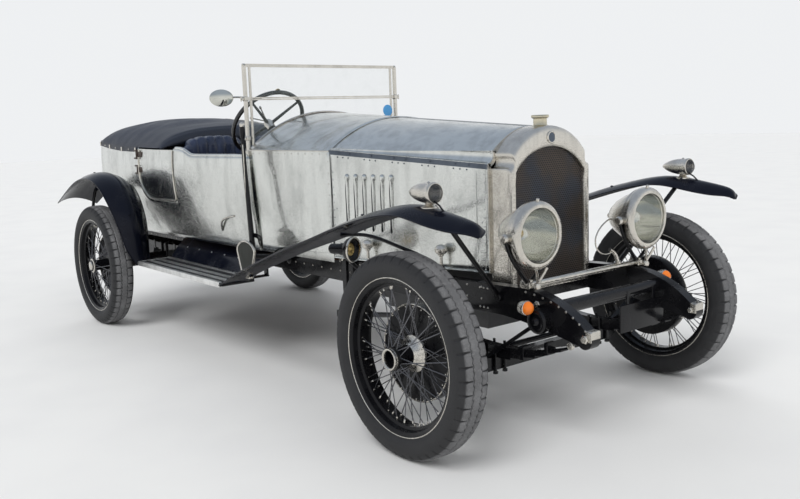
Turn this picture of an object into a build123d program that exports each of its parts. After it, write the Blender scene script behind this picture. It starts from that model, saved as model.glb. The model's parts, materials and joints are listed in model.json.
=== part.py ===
from build123d import *
import math
import os

# Vintage open tourer, right-hand drive, polished panels on a separate chassis.
# Millimetres. +X is ahead, +Y is the car's left, +Z is up, the ground is z = 0.
# The origin is on the ground, midway between the tail and the dumb-iron tips.

# Whole car
wheelbase = 3245
track = 1590
tail_overhang = 640
nose_overhang = 523

# Stations along the car
rear_axle_x = -(tail_overhang + wheelbase + nose_overhang) / 2 + tail_overhang
front_axle_x = rear_axle_x + wheelbase
tail_x = rear_axle_x - tail_overhang
nose_x = front_axle_x + nose_overhang
screen_ahead = 1594
screen_x = rear_axle_x + screen_ahead
scuttle_length = 660
bonnet_rear_x = screen_x + scuttle_length
radiator_front_ahead = 25
radiator_depth = 112
radiator_front_x = front_axle_x + radiator_front_ahead
radiator_rear_x = radiator_front_x - radiator_depth

# Clearances
seat_gap = 0.3
running_gap = 0.05
panel_gap = 6
door_gap = 8

# Wheels and tyres
tyre_radius = 395
tyre_half_width = 70
bead_radius = 286
flange_radius = 298
rim_half_width = 50
rim_sheet = 6
hub_radius = 34
hub_outboard = 78
hub_inboard = 50
hub_flange_radius = 52
hub_ring_radius = 44
hub_bore_radius = 22
spoke_side = 4.4
spoke_count = 60
drum_radius = 190
drum_depth = 62
drum_sheet = 8
drum_face_inboard = 40

# Front axle and steering
kingpin_inset = 155
kingpin_y = track / 2 - kingpin_inset
kingpin_radius = 13
kingpin_boss_radius = 26
kingpin_boss_height = 90
knuckle_ear = 22
axle_beam_drop = 120
axle_beam_height = 56
axle_beam_width = 44
steering_arm_length = 150
track_rod_drop = 100
track_rod_radius = 13
track_rod_pin_radius = 9
drag_arm_length = 150
drag_link_radius = 12
drop_arm_eye_gap = 26
drop_arm_length = 285
drop_arm_y = 385
cross_shaft_radius = 13
backplate_radius = 172
backplate_sheet = 6
steering_wheel_radius = 212
steering_rim_radius = 13
steering_wheel_reach = 179
steering_wheel_ahead = screen_ahead - steering_wheel_reach
steering_wheel_y = -280
steering_wheel_z = 1285
column_rake = 38
column_radius = 22
steering_shaft_radius = 9

# Chassis
rail_y = 330
rail_width = 50
rail_top_z = 600
steering_box_rise = 17
column_length = (steering_wheel_z - rail_top_z - steering_box_rise) / math.sin(math.radians(column_rake))
rail_depth = 112
rail_sheet = 7
rail_rear_inset = 60
dumb_iron_rise = 10
dumb_iron_eye_z = 455
dumb_iron_eye_radius = 27
cross_tube_radius = 28
spring_width = 44
spring_half_span = 440
spring_leaf = 8
spring_leaves = 6
spring_clip = 0.5
front_spring_end_z = 428
rear_spring_end_z = 505
rear_spring_seat_z = 436
damper_x = front_axle_x + 300
damper_z = 505
damper_radius = 46

# Engine and what hangs below the floor
engine_bulkhead_gap = 49
sump_half_width = 150
sump_low_z = 345
engine_half_width = 190
engine_low_z = 440
engine_high_z = 1010
engine_gap = 95
gearbox_length = 360
gearbox_half_width = 130
gearbox_top_z = 596
shaft_radius = 32
exhaust_y = 400
exhaust_z = 465
exhaust_rear_z = 492
exhaust_radius = 20
silencer_radius = 42
silencer_length = 620

# Body, with two limits that lie beyond all of it
beyond_y = 700
above_z = 1500
body_bottom_z = rail_top_z + seat_gap
belly_z = 900
body_wall = 36
scuttle_sheet = 8
bonnet_sheet = 6
sill_top_z = 640
floor_sheet = 14
coaming_z = 1115
tail_coaming_z = 1212
tub_top_z = 1220
tail_corner_radius = 110
dash_low_z = 930
bulkhead_back = 48

# Doors: ahead of the rear axle to the rear and front edge, sill height, lower corner radii
rear_door = (screen_ahead - 1372, screen_ahead - 824, 830, 170, 45)
front_door = (screen_ahead - 654, screen_ahead - 114, 760, 60, 60)
hinge_offset = 14
hinge_pin_radius = 4
hinge_knuckle_radius = 8
hinge_knuckle_height = 36
hinge_ear_height = 12
door_top_gap = 8

# Scuttle, bonnet and radiator
scuttle_rear_half = 510
scuttle_rear_shoulder_z = 1146
scuttle_rear_crown_z = 1336
scuttle_rear_low_half = 472
bonnet_rear_half = 440
bonnet_rear_shoulder_z = 1141
bonnet_rear_crown_z = 1290
bonnet_front_half = 262
bonnet_front_shoulder_z = 1108
bonnet_front_crown_z = 1230
bonnet_low_z = 625
hinge_rod_radius = 7
hinge_rod_drop = 3
louvre_count = 6
louvre_first_ahead = 2387
louvre_pitch = 70
louvre_top_z = 1018
louvre_low_z = 745
louvre_head_radius = 13
louvre_foot_radius = 4
flute_front_radius = 34
flute_rear_radius = 5
shell_half_width = 250
shell_low_z = 545
shell_shoulder_z = 1085
shell_crown_z = 1232
core_half_width = 212
core_low_z = 560
core_shoulder_z = 1040
core_crown_z = 1142
cap_back = 62
cap_neck_z = 1262
cap_top_z = 1280
cap_collar_radius = 44
cap_knob_radius = 25

# Windscreen
screen_half_width = 505
screen_back = 14
screen_top_z = 1603
screen_split_z = 1418
post_low_z = coaming_z + seat_gap

# Seats
front_seat_ahead = screen_ahead - 894
front_seat_z = 860
front_seat_outer_y = 468
rear_seat_half = 448
seat_back_z = 1236
rear_seat_ahead = -160
tonneau_front_gap = 200
tonneau_front_ahead = front_seat_ahead - tonneau_front_gap

# Lamps and fittings
lamp_x = front_axle_x + 262
lamp_y = 341
lamp_z = 822
lamp_radius = 133
lamp_bar_x = front_axle_x + 194
lamp_bar_radius = 20
side_lamp_x = front_axle_x + 140
side_lamp_y = track / 2 - 17
side_lamp_z = 1014
side_lamp_lift = 80
indicator_x = front_axle_x + 277
indicator_y = rail_y + 105
indicator_z = 560
horn_x = bonnet_rear_x + 348
horn_y = 575
horn_z = 712
horn_foot_z = 560
handbrake_ahead = screen_ahead + 76
handbrake_y = 582
handbrake_low_z = 590
handbrake_grip_z = 1215
handbrake_top_z = 1300

# Running boards and wings
board_inner_y = 520
board_outer_inset = 60
board_outer_y = track / 2 - board_outer_inset
board_top_z = 455
board_sheet = 22
board_rear_ahead = 470
front_wing_reach = 1660
board_front_ahead = wheelbase - front_wing_reach
wing_overhang = 73
wing_outer_y = track / 2 + wing_overhang
wing_body_gap = 22
wing_sheet = 5
wing_foot_gap = 2
stay_radius = 11
rear_stay_ahead = -430
rear_stay_y = track / 2 - 145


def block(x_range, y_range, z_range):
    """Rectangular solid between two limits on each axis."""
    size = [high - low for low, high in (x_range, y_range, z_range)]
    centre = [(high + low) / 2 for low, high in (x_range, y_range, z_range)]
    return Pos(*centre) * Box(*size)


def rod(start, end, radius):
    """Round bar between two points."""
    axis = Vector(*end) - Vector(*start)
    plane = Plane(origin=start, z_dir=axis)
    return extrude(plane * Circle(radius), axis.length)


def bent_tube(points, bend, radius):
    """Round tube along straight runs joined by arcs."""
    path = FilletPolyline(*points, radius=bend)
    return sweep(Plane(origin=path @ 0, z_dir=path % 0) * Circle(radius), path)


def side_plate(outline, y_low, y_high):
    """Plate cut to an outline in x and z, between two limits in y."""
    face = make_face(Polyline(*[(x, 0, z) for x, z in outline], close=True))
    plate = extrude(face, amount=y_high - y_low, dir=(0, 1, 0))
    return Pos(0, y_low, 0) * plate


def disc_y(x, y_low, y_high, z, radius):
    """Round disc or bar lying along Y."""
    return rod((x, y_low, z), (x, y_high, z), radius)


def turned_y(profile):
    """Solid turned about the Y axis from a profile of radius and y points."""
    return revolve(make_face(Polyline(*[(r, y, 0) for r, y in profile], close=True)), Axis.Y)


def pair(shape):
    """The piece and its mirror image on the other side of the car."""
    return [shape, mirror(shape, about=Plane.XZ)]


def rail_foot(x, z, radius):
    """Round foot bolted to the left rail's outer face, and the point where it ends."""
    face_y = rail_y + rail_width / 2 + seat_gap
    end = (x, face_y + 14, z)
    return disc_y(x, face_y, face_y + 14, z, radius), end


def cut_to(shape, other):
    """The main piece of a shape after another piece is cut from it."""
    return (shape - other).solids().sort_by(SortBy.VOLUME)[-1]


def group(pieces):
    """Separate solids that belong to one node."""
    solids = []
    for piece in pieces:
        solids.extend(piece.solids())
    return Compound(children=solids)


# Wheels

def tyre():
    """Straight-sided tyre with a flat tread, centred on its axle."""
    tread_half = tyre_half_width - 14
    bead_y = rim_half_width - rim_sheet - seat_gap
    half = [
        (bead_radius, bead_y),
        (flange_radius + seat_gap, bead_y),
        (flange_radius + 8, rim_half_width + 6),
        (flange_radius + 44, tyre_half_width),
        (tyre_radius - 16, tyre_half_width - 4),
        (tyre_radius, tread_half),
    ]
    other_half = [(r, -y) for r, y in reversed(half)]
    return turned_y(half + other_half)


def rim():
    """Well-base rim: two flanges, two bead seats and a lower well."""
    seat = bead_radius - seat_gap
    well = seat - 18
    outer = rim_half_width
    inner = rim_half_width - rim_sheet
    profile = [
        (flange_radius, -outer),
        (flange_radius, -inner),
        (seat, -inner),
        (seat, -22),
        (well, -14),
        (well, 14),
        (seat, 22),
        (seat, inner),
        (flange_radius, inner),
        (flange_radius, outer),
        (seat - rim_sheet, outer),
        (seat - rim_sheet, 26),
        (well - rim_sheet, 17),
        (well - rim_sheet, -17),
        (seat - rim_sheet, -26),
        (seat - rim_sheet, -outer),
    ]
    return turned_y(profile)


def hub(has_cap):
    """Splined hub barrel with two spoke flanges, outboard towards +y."""
    profile = [
        (hub_bore_radius, -hub_inboard),
        (hub_flange_radius, -hub_inboard),
        (hub_flange_radius, -hub_inboard + 7),
        (hub_radius, -hub_inboard + 16),
        (hub_radius, hub_outboard - 40),
        (hub_ring_radius, hub_outboard - 32),
        (hub_ring_radius, hub_outboard - 4),
        (hub_ring_radius - 4, hub_outboard),
        (hub_ring_radius - 12, hub_outboard),
        (hub_ring_radius - 12, hub_outboard - 26),
        (hub_bore_radius, hub_outboard - 26),
    ]
    if not has_cap:
        return turned_y(profile)
    cap = [
        (0, hub_outboard - 20),
        (hub_ring_radius, hub_outboard - 20),
        (hub_ring_radius, hub_outboard - 6),
        (hub_ring_radius - 10, hub_outboard + 8),
        (0, hub_outboard + 10),
    ]
    return turned_y(profile) + turned_y(cap)


def drum():
    """Brake drum, open on its inboard side, carried by the hub's inner flange."""
    face_y = -drum_face_inboard
    profile = [
        (hub_radius - 4, face_y - drum_sheet),
        (drum_radius - drum_sheet, face_y - drum_sheet),
        (drum_radius - drum_sheet, face_y - drum_depth),
        (drum_radius + 6, face_y - drum_depth),
        (drum_radius + 6, face_y - drum_depth + 8),
        (drum_radius, face_y - drum_depth + 8),
        (drum_radius, face_y - 10),
        (drum_radius - 10, face_y),
        (hub_radius - 4, face_y),
    ]
    return turned_y(profile)


def spokes():
    """Laced spokes from the hub to the rim, each crossing its neighbours."""
    # Columns: hub y, hub radius, rim y, lean in degrees
    rows = [
        (hub_outboard - 44, hub_radius - 3, -8, 42),
        (hub_outboard - 44, hub_radius - 3, -8, -42),
        (-hub_inboard + 12, hub_radius - 1, 8, 56),
        (-hub_inboard + 12, hub_radius - 1, 8, -56),
    ]
    each = spoke_count // len(rows)
    rim_radius = bead_radius - 22
    pieces = []
    for row, (hub_y, hub_r, rim_y, lean) in enumerate(rows):
        for step in range(each):
            rim_angle = math.radians(360 / each * (step + row / len(rows)))
            hub_angle = rim_angle + math.radians(lean)
            inner = Vector(hub_r * math.cos(hub_angle), hub_y, hub_r * math.sin(hub_angle))
            outer = Vector(rim_radius * math.cos(rim_angle), rim_y, rim_radius * math.sin(rim_angle))
            plane = Plane(origin=inner, z_dir=outer - inner)
            pieces.append(extrude(plane * Rectangle(spoke_side, spoke_side), (outer - inner).length))
    return pieces


def wire_wheel(has_cap):
    """One laced wheel with its hub and brake drum, outboard towards +y."""
    wheel = rim().fuse(hub(has_cap), drum(), *spokes())
    return wheel


def place_wheel(shape, axle_x, side):
    """Moves a wheel or tyre from the origin to its corner of the car."""
    if side < 0:
        shape = mirror(shape, about=Plane.XZ)
    return Pos(axle_x, side * track / 2, tyre_radius) * shape


# Chassis

def rail_outline():
    """Side view of one chassis rail, with the dumb iron curving down in front."""
    eye_x = nose_x - dumb_iron_eye_radius
    arch_x = eye_x - 260
    drop = rail_top_z + dumb_iron_rise
    return Polyline(
        (tail_x + rail_rear_inset, 0, rail_top_z),
        (arch_x - 420, 0, rail_top_z),
        (arch_x - 60, 0, drop),
    ) + ThreePointArc(
        (arch_x - 60, 0, drop),
        (arch_x + 130, 0, drop - 38),
        (nose_x, 0, dumb_iron_eye_z + 10),
    ) + ThreePointArc(
        (nose_x, 0, dumb_iron_eye_z + 10),
        (nose_x - 8, 0, dumb_iron_eye_z - 22),
        (eye_x - 30, 0, dumb_iron_eye_z - 26),
    ) + ThreePointArc(
        (eye_x - 30, 0, dumb_iron_eye_z - 26),
        (arch_x + 60, 0, dumb_iron_eye_z + 8),
        (arch_x - 160, 0, rail_top_z - rail_depth),
    ) + Polyline(
        (arch_x - 160, 0, rail_top_z - rail_depth),
        (rear_axle_x + 800, 0, rail_top_z - rail_depth),
        (rear_axle_x + 350, 0, rail_top_z - 70),
        (tail_x + rail_rear_inset, 0, rail_top_z - 70),
        (tail_x + rail_rear_inset, 0, rail_top_z),
    )


def chassis_frame():
    """Two channel rails tied by cross members, with spring brackets."""
    outline = rail_outline()
    side = make_face(outline)
    rail = Pos(0, rail_y - rail_width / 2, 0) * extrude(side, amount=rail_width, dir=(0, 1, 0))
    channel_rear = rear_axle_x - 300
    channel_front = nose_x - 480
    channel = block(
        (channel_rear, channel_front),
        (rail_y - rail_width, rail_y + rail_width / 2 - rail_sheet),
        (rail_top_z - 70 + rail_sheet, rail_top_z - rail_sheet),
    )
    rail = rail - channel
    frame = rail.fuse(mirror(rail, about=Plane.XZ))
    inner = rail_y - rail_width / 2 + rail_sheet
    # Columns: ahead of the rear axle, low and high edge of each cross member
    for ahead, low, high in (
        (-265, rail_top_z - 66, rail_top_z - 10),
        (420, rail_top_z - 66, rail_top_z - 10),
        (1250, rail_top_z - 66, rail_top_z - 10),
        (1850, rail_top_z - 66, rail_top_z - 10),
        (3214, rail_top_z - 100, shell_low_z - seat_gap),
    ):
        x = rear_axle_x + ahead
        bar = block((x - 30, x + 30), (-rail_y, rail_y), (low, high))
        frame = frame.fuse(bar)
    front_tube = rod((nose_x - 200, -inner, 545), (nose_x - 200, inner, 545), cross_tube_radius)
    return frame.fuse(front_tube)


def leaf_spring(centre_x, seat_z, end_z, front_hanger_z, rear_hanger_z):
    """One pack of leaves, curved up to its ends, with a shackle where one reaches the rail."""
    top_z = seat_z + spring_leaf * spring_leaves
    rise = end_z - top_z
    spring = None
    for leaf in range(spring_leaves):
        share = 1 - 0.15 * leaf
        half = spring_half_span * share
        top = top_z - spring_leaf * leaf
        low = top - spring_leaf - spring_clip
        lift = rise * share ** 2
        upper = ThreePointArc((centre_x - half, 0, top + lift), (centre_x, 0, top), (centre_x + half, 0, top + lift))
        lower = ThreePointArc((centre_x + half, 0, low + lift), (centre_x, 0, low), (centre_x - half, 0, low + lift))
        outline = upper + Line(upper @ 1, lower @ 0) + lower + Line(lower @ 1, upper @ 0)
        plate = extrude(make_face(outline), amount=spring_width, dir=(0, 1, 0))
        spring = plate if spring is None else spring.fuse(plate)
    for x, hanger_z in ((centre_x + spring_half_span - 14, front_hanger_z), (centre_x - spring_half_span + 14, rear_hanger_z)):
        if hanger_z:
            spring = spring.fuse(block((x - 12, x + 12), (0, spring_width), (end_z - 12, hanger_z)))
    return Pos(0, rail_y - spring_width / 2, 0) * spring


def spring_pack():
    """All four leaf springs."""
    rail_low = rail_top_z - rail_depth
    front_seat = tyre_radius - axle_beam_drop + axle_beam_height / 2 + spring_clip + seat_gap
    front = leaf_spring(front_axle_x, front_seat, front_spring_end_z, None, rail_low - seat_gap)
    rear_low = rail_top_z - 70
    rear = leaf_spring(
        rear_axle_x, rear_spring_seat_z + spring_clip + seat_gap, rear_spring_end_z, 521, rear_low - seat_gap)
    return [piece for spring in (front, rear) for piece in pair(spring)]


def friction_damper():
    """Round friction damper bolted outside the rail, with its arm to the axle."""
    x = damper_x
    y = rail_y + rail_width / 2 + seat_gap
    foot_z = tyre_radius - axle_beam_drop + axle_beam_height / 2 + 1
    hub_part = disc_y(x, y, y + 46, damper_z, damper_radius)
    arm_line = [(x - 14, damper_z), (x + 14, damper_z), (front_axle_x + 12, foot_z), (front_axle_x - 12, foot_z)]
    return hub_part.fuse(side_plate(arm_line, y + 14, y + 22))


def front_axle():
    """Dropped beam with an upright boss at each kingpin and a pad at each spring."""
    beam_z = tyre_radius - axle_beam_drop
    half = axle_beam_height / 2
    boss_half = kingpin_boss_height / 2
    low = kingpin_y - kingpin_boss_radius + 6
    outline = [
        (-low, tyre_radius + 26), (-low, tyre_radius - 30),
        (-rail_y - 60, beam_z - half), (rail_y + 60, beam_z - half),
        (low, tyre_radius - 30), (low, tyre_radius + 26),
        (rail_y + 90, beam_z + half + 6), (rail_y + 40, beam_z + half),
        (-rail_y - 40, beam_z + half), (-rail_y - 90, beam_z + half + 6),
    ]
    face = make_face(Polyline(*[(0, y, z) for y, z in outline], close=True))
    beam = Pos(front_axle_x - axle_beam_width / 2, 0, 0) * extrude(face, amount=axle_beam_width, dir=(1, 0, 0))
    for side in (1, -1):
        y = side * kingpin_y
        boss = Pos(front_axle_x, y, tyre_radius) * Cylinder(kingpin_boss_radius, kingpin_boss_height)
        bore = Pos(front_axle_x, y, tyre_radius) * Cylinder(kingpin_radius + running_gap, kingpin_boss_height + 20)
        beam = beam.fuse(boss) - bore
    return beam


def knuckle(side):
    """Fork round the axle boss, kingpin, stub axle, backplate and steering arm."""
    x = front_axle_x
    half = kingpin_boss_height / 2 + seat_gap
    ear_outer = kingpin_boss_radius + 20
    pin = Pos(x, kingpin_y, tyre_radius) * Cylinder(kingpin_radius, 2 * (half + knuckle_ear))
    shape = pin
    for sign in (1, -1):
        z = tyre_radius + sign * (half + knuckle_ear / 2)
        shape = shape.fuse(Pos(x, kingpin_y, z) * Cylinder(kingpin_boss_radius, knuckle_ear))
        low = z - knuckle_ear / 2
        shape = shape.fuse(block((x - 22, x + 22), (kingpin_y, kingpin_y + ear_outer), (low, low + knuckle_ear)))
    tall = half + knuckle_ear
    web_y = kingpin_y + kingpin_boss_radius + 6
    shape = shape.fuse(block((x - 26, x + 26), (web_y, web_y + 14), (tyre_radius - tall, tyre_radius + tall)))
    plate_y = track / 2 - drum_face_inboard - drum_depth + 4
    shape = shape.fuse(disc_y(x, web_y, plate_y + backplate_sheet, tyre_radius, 44))
    shape = shape.fuse(disc_y(x, plate_y, plate_y + backplate_sheet, tyre_radius, backplate_radius))
    stub_end = track / 2 + hub_outboard - 40
    shape = shape.fuse(disc_y(x, plate_y, stub_end, tyre_radius, hub_bore_radius - running_gap))
    arm_z = tyre_radius - track_rod_drop
    ear_z = tyre_radius - half - knuckle_ear
    post = rod((x, kingpin_y, arm_z), (x, kingpin_y, ear_z + 4), 15)
    arm = block((x - steering_arm_length, x), (kingpin_y - 12, kingpin_y + 12), (arm_z - 9, arm_z + 9))
    eye_x = x - steering_arm_length
    arm_eye = Pos(eye_x, kingpin_y, arm_z) * Cylinder(19, 18)
    ball_pin = rod((eye_x, kingpin_y, arm_z - 40), (eye_x, kingpin_y, arm_z), track_rod_pin_radius)
    shape = shape.fuse(post, arm, arm_eye, ball_pin)
    if side < 0:
        link_z = tyre_radius + half + knuckle_ear
        inboard = kingpin_y - drag_arm_length
        lever = block((x - 12, x + 12), (inboard, kingpin_y), (link_z - 6, link_z + 10))
        link_pin = rod((x, inboard, link_z - 6), (x, inboard, link_z + 48), track_rod_pin_radius)
        lever_eye = Pos(x, inboard, link_z + 2) * Cylinder(18, 16)
        shape = mirror(shape.fuse(lever, link_pin, lever_eye), about=Plane.XZ)
    return shape


def track_rod():
    """Tube across the car between the two steering arms, with an eye at each end."""
    x = front_axle_x - steering_arm_length
    z = tyre_radius - track_rod_drop - 9 - seat_gap - 15
    shape = rod((x, -kingpin_y, z), (x, kingpin_y, z), track_rod_radius)
    for side in (1, -1):
        eye = Pos(x, side * kingpin_y, z) * Cylinder(20, 30)
        hole = Pos(x, side * kingpin_y, z) * Cylinder(track_rod_pin_radius + running_gap, 60)
        shape = shape.fuse(eye) - hole
    return shape


def rear_axle():
    """Tubular casing with a round differential housing and a drum plate at each end."""
    reach = track / 2 - drum_face_inboard - drum_depth + 4
    shape = disc_y(rear_axle_x, -reach, reach, tyre_radius, 40)
    housing = Pos(rear_axle_x, 0, tyre_radius) * Sphere(148)
    shape = shape.fuse(housing)
    for side in (1, -1):
        low, high = sorted((side * reach, side * (reach + backplate_sheet)))
        shape = shape.fuse(disc_y(rear_axle_x, low, high, tyre_radius, backplate_radius))
        end = side * (track / 2 + hub_outboard - 40)
        low, high = sorted((side * reach, end))
        shape = shape.fuse(disc_y(rear_axle_x, low, high, tyre_radius, hub_bore_radius - running_gap))
        pad_low = side * rail_y - spring_width / 2
        pad = block(
            (rear_axle_x - 45, rear_axle_x + 45), (pad_low, pad_low + spring_width),
            (tyre_radius, rear_spring_seat_z),
        )
        shape = shape.fuse(pad)
    nose = rod((rear_axle_x, 0, tyre_radius), (rear_axle_x + 210, 0, tyre_radius + 16), 62)
    return shape.fuse(nose)


def engine():
    """Engine as one plain block with its sump, the gearbox behind and the shaft to the rear axle."""
    front = radiator_rear_x - engine_gap
    rear = bonnet_rear_x + engine_bulkhead_gap
    body = block((rear, front), (-engine_half_width, engine_half_width), (engine_low_z, engine_high_z))
    sump = block((rear, front - 40), (-sump_half_width, sump_half_width), (sump_low_z, engine_low_z))
    box_rear = rear - gearbox_length
    gearbox = block((box_rear, rear), (-gearbox_half_width, gearbox_half_width), (engine_low_z - 60, gearbox_top_z))
    tail = (box_rear, 0, engine_low_z + 62)
    nose = (rear_axle_x + 211, 0, tyre_radius + 16)
    return body.fuse(sump, gearbox, rod(nose, tail, shaft_radius))


def exhaust():
    """Pipe from the left side of the engine, under the rail and along below the body to the tail."""
    start_x = radiator_rear_x - 420
    inside_y = engine_half_width + 60
    points = [
        (start_x, engine_half_width + seat_gap, 700), (start_x, inside_y, 700),
        (start_x - 150, inside_y, exhaust_z), (start_x - 360, exhaust_y, exhaust_z),
        (rear_axle_x + 700, exhaust_y, exhaust_z), (rear_axle_x + 350, exhaust_y, exhaust_rear_z),
        (tail_x + 30, exhaust_y, exhaust_rear_z),
    ]
    pipe = bent_tube(points, 30, exhaust_radius)
    front = screen_x - 300
    return pipe.fuse(rod((front - silencer_length, exhaust_y, exhaust_z), (front, exhaust_y, exhaust_z), silencer_radius))


def fuel_tank():
    """Tank across the tail between the rails, with a filler neck."""
    half = rail_y - rail_width / 2 - seat_gap
    body = block(
        (tail_x + 40, tail_x + 330), (-half, half), (rail_top_z - 230, rail_top_z - 8),
    )
    body = fillet(body.edges().filter_by(Axis.Y), 60)
    return body


# Radiator

def radiator_outline(side_y, low_z, shoulder_z, crown_z):
    """Front view of the radiator: upright sides and an arched top."""
    return Polyline(
        (0, side_y, shoulder_z), (0, side_y, low_z), (0, -side_y, low_z), (0, -side_y, shoulder_z),
    ) + ThreePointArc((0, -side_y, shoulder_z), (0, 0, crown_z), (0, side_y, shoulder_z))


def radiator_shell():
    """Plated shell with an arched opening and fluted shoulders, its cap, and the bonnet's hinge rod."""
    outer = extrude(make_face(radiator_outline(
        shell_half_width, shell_low_z, shell_shoulder_z, shell_crown_z)), amount=radiator_depth, dir=(1, 0, 0))
    outer = Pos(radiator_rear_x, 0, 0) * outer
    opening = extrude(make_face(radiator_outline(
        core_half_width, core_low_z, core_shoulder_z, core_crown_z)), amount=radiator_depth + 20, dir=(1, 0, 0))
    opening = Pos(radiator_rear_x - 10, 0, 0) * opening
    shell = outer - opening
    for side in (1, -1):
        centre = (side * (shell_half_width + 2), shell_shoulder_z + 12)
        shell = shell - rod((radiator_rear_x - 5,) + centre, (radiator_front_x + 5,) + centre, flute_front_radius)
    cap_x = radiator_front_x - cap_back
    neck = rod((cap_x, 0, shell_crown_z - 14), (cap_x, 0, cap_neck_z - 10), 35)
    collar = rod((cap_x, 0, cap_neck_z - 10), (cap_x, 0, cap_neck_z), cap_collar_radius)
    knob = rod((cap_x, 0, cap_neck_z), (cap_x, 0, cap_top_z), cap_knob_radius)
    cap = collar.fuse(knob)
    hinge = rod(
        (bonnet_rear_x + seat_gap, 0, bonnet_rear_crown_z - hinge_rod_drop),
        (radiator_rear_x + 4, 0, bonnet_front_crown_z - hinge_rod_drop), hinge_rod_radius)
    return shell.fuse(neck, cap, hinge)


def radiator_core():
    """Honeycomb block filling the shell's opening."""
    inset = seat_gap
    core = extrude(make_face(radiator_outline(
        core_half_width - inset, core_low_z + inset, core_shoulder_z, core_crown_z - inset,
    )), amount=radiator_depth - 26, dir=(1, 0, 0))
    return Pos(radiator_rear_x + 8, 0, 0) * core


# Bonnet

def bonnet_section(x, half, shoulder, crown, low_z):
    """Upright section of the bonnet: flat sides, low crowned top and an open hem."""
    top = ThreePointArc((x, half, shoulder), (x, half * 0.52, shoulder + (crown - shoulder) * 0.76), (x, 0, crown))
    return Wire([
        Line((x, 0, low_z), (x, half, low_z)), Line((x, half, low_z), (x, half, shoulder)), top.edge(),
        Line((x, 0, crown), (x, 0, low_z)),
    ])


def bonnet_block(sheet):
    """Solid half of the bonnet's volume, drawn in by a sheet's thickness."""
    front = bonnet_section(
        radiator_rear_x - panel_gap, bonnet_front_half - sheet, bonnet_front_shoulder_z - sheet,
        bonnet_front_crown_z - sheet, bonnet_low_z)
    rear = bonnet_section(
        bonnet_rear_x + panel_gap, bonnet_rear_half - sheet, bonnet_rear_shoulder_z - sheet,
        bonnet_rear_crown_z - sheet, bonnet_low_z)
    return Solid.make_loft([rear, front], ruled=True)


def bonnet_side(x):
    """Half width of the bonnet's flat side at a station."""
    rear_x = bonnet_rear_x + panel_gap
    front_x = radiator_rear_x - panel_gap
    return bonnet_rear_half + (bonnet_front_half - bonnet_rear_half) * (x - rear_x) / (front_x - rear_x)


def louvres():
    """Row of raised teardrops down the bonnet's side, each with a round head."""
    pieces = []
    for number in range(louvre_count):
        x = rear_axle_x + louvre_first_ahead + number * louvre_pitch
        y = bonnet_side(x)
        low = (x, y, louvre_low_z - 8 * number)
        drop = Vector(0, 0, louvre_top_z - low[2])
        cone = Solid.make_cone(louvre_foot_radius, louvre_head_radius, drop.length, plane=Plane(origin=low, z_dir=drop))
        pieces += [cone, Pos(x, y, louvre_top_z) * Sphere(louvre_head_radius)]
    return pieces


def bonnet_half(side):
    """One opening half: top panel and side panel in one, fluted along the shoulder."""
    outer = bonnet_block(0)
    inner = bonnet_block(bonnet_sheet)
    rear_x = bonnet_rear_x + panel_gap
    front_x = radiator_rear_x - panel_gap
    flute_start = Vector(front_x + 1, bonnet_front_half + 2, bonnet_front_shoulder_z + 12)
    flute_end = Vector(rear_x - 1, bonnet_rear_half + 2, bonnet_rear_shoulder_z + 12)
    direction = flute_end - flute_start
    plane = Plane(origin=flute_start, z_dir=direction)
    far = Plane(origin=flute_end, z_dir=direction)
    flute = loft([plane * Circle(flute_front_radius), far * Circle(flute_rear_radius)])
    wall = loft([
        plane * Circle(flute_front_radius + bonnet_sheet), far * Circle(flute_rear_radius + bonnet_sheet)])
    shape = (outer.fuse(*louvres()) - flute) - (inner - wall)
    clear = hinge_rod_radius + seat_gap
    shape = shape - block((rear_x - 5, front_x + 5), (-1, clear), (bonnet_low_z - 5, 1400))
    shape = shape - block((rear_x - 5, front_x + 5), (-1, bonnet_front_half - 40), (bonnet_low_z - 5, bonnet_low_z + 40))
    return shape if side > 0 else mirror(shape, about=Plane.XZ)


# Body

def body_section(x, bottom_half, belly_half, top_half, top_z):
    """Upright section of the tub: flat below, sides bowed out through the belly."""
    left = ThreePointArc((x, bottom_half, body_bottom_z), (x, belly_half, belly_z), (x, top_half, top_z))
    right = ThreePointArc((x, -top_half, top_z), (x, -belly_half, belly_z), (x, -bottom_half, body_bottom_z))
    return Wire([
        left.edge(), Line((x, top_half, top_z), (x, -top_half, top_z)),
        right.edge(), Line((x, -bottom_half, body_bottom_z), (x, bottom_half, body_bottom_z)),
    ])


# Columns: ahead of the rear axle, height of the body's top edge
coaming_line = [
    (-tail_overhang, tail_coaming_z), (-340, 1183), (-80, 1166), (tonneau_front_ahead, 1158),
    (screen_ahead - 714, 1152), (screen_ahead - 594, coaming_z),
]


# Columns: ahead of the rear axle, half width at the bottom, belly and top
tub_stations = [
    (-tail_overhang, 478, 530, 522),
    (-260, 492, 560, 552),
    (320, 505, 578, 566),
    (screen_ahead - 674, 505, 572, 562),
    (screen_ahead, 474, 522, 514),
]


def tub_block(inset, rear_x):
    """Solid of the tub's volume, drawn in by a wall's thickness on each side."""
    stations = [(rear_x - rear_axle_x,) + tub_stations[0][1:]] + tub_stations[1:]
    wires = [
        body_section(rear_axle_x + ahead, low - inset, belly - inset, top - inset, tub_top_z)
        for ahead, low, belly, top in stations
    ]
    return Solid.make_loft(wires, ruled=True)


def tub_top_cut():
    """Everything above the coaming line, which rises from the cockpit to the tail."""
    line = [(rear_axle_x + ahead, z) for ahead, z in coaming_line]
    ends = [(screen_x + 50, coaming_z), (screen_x + 50, above_z), (tail_x, above_z)]
    return side_plate(line + ends, -beyond_y, beyond_y)


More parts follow.
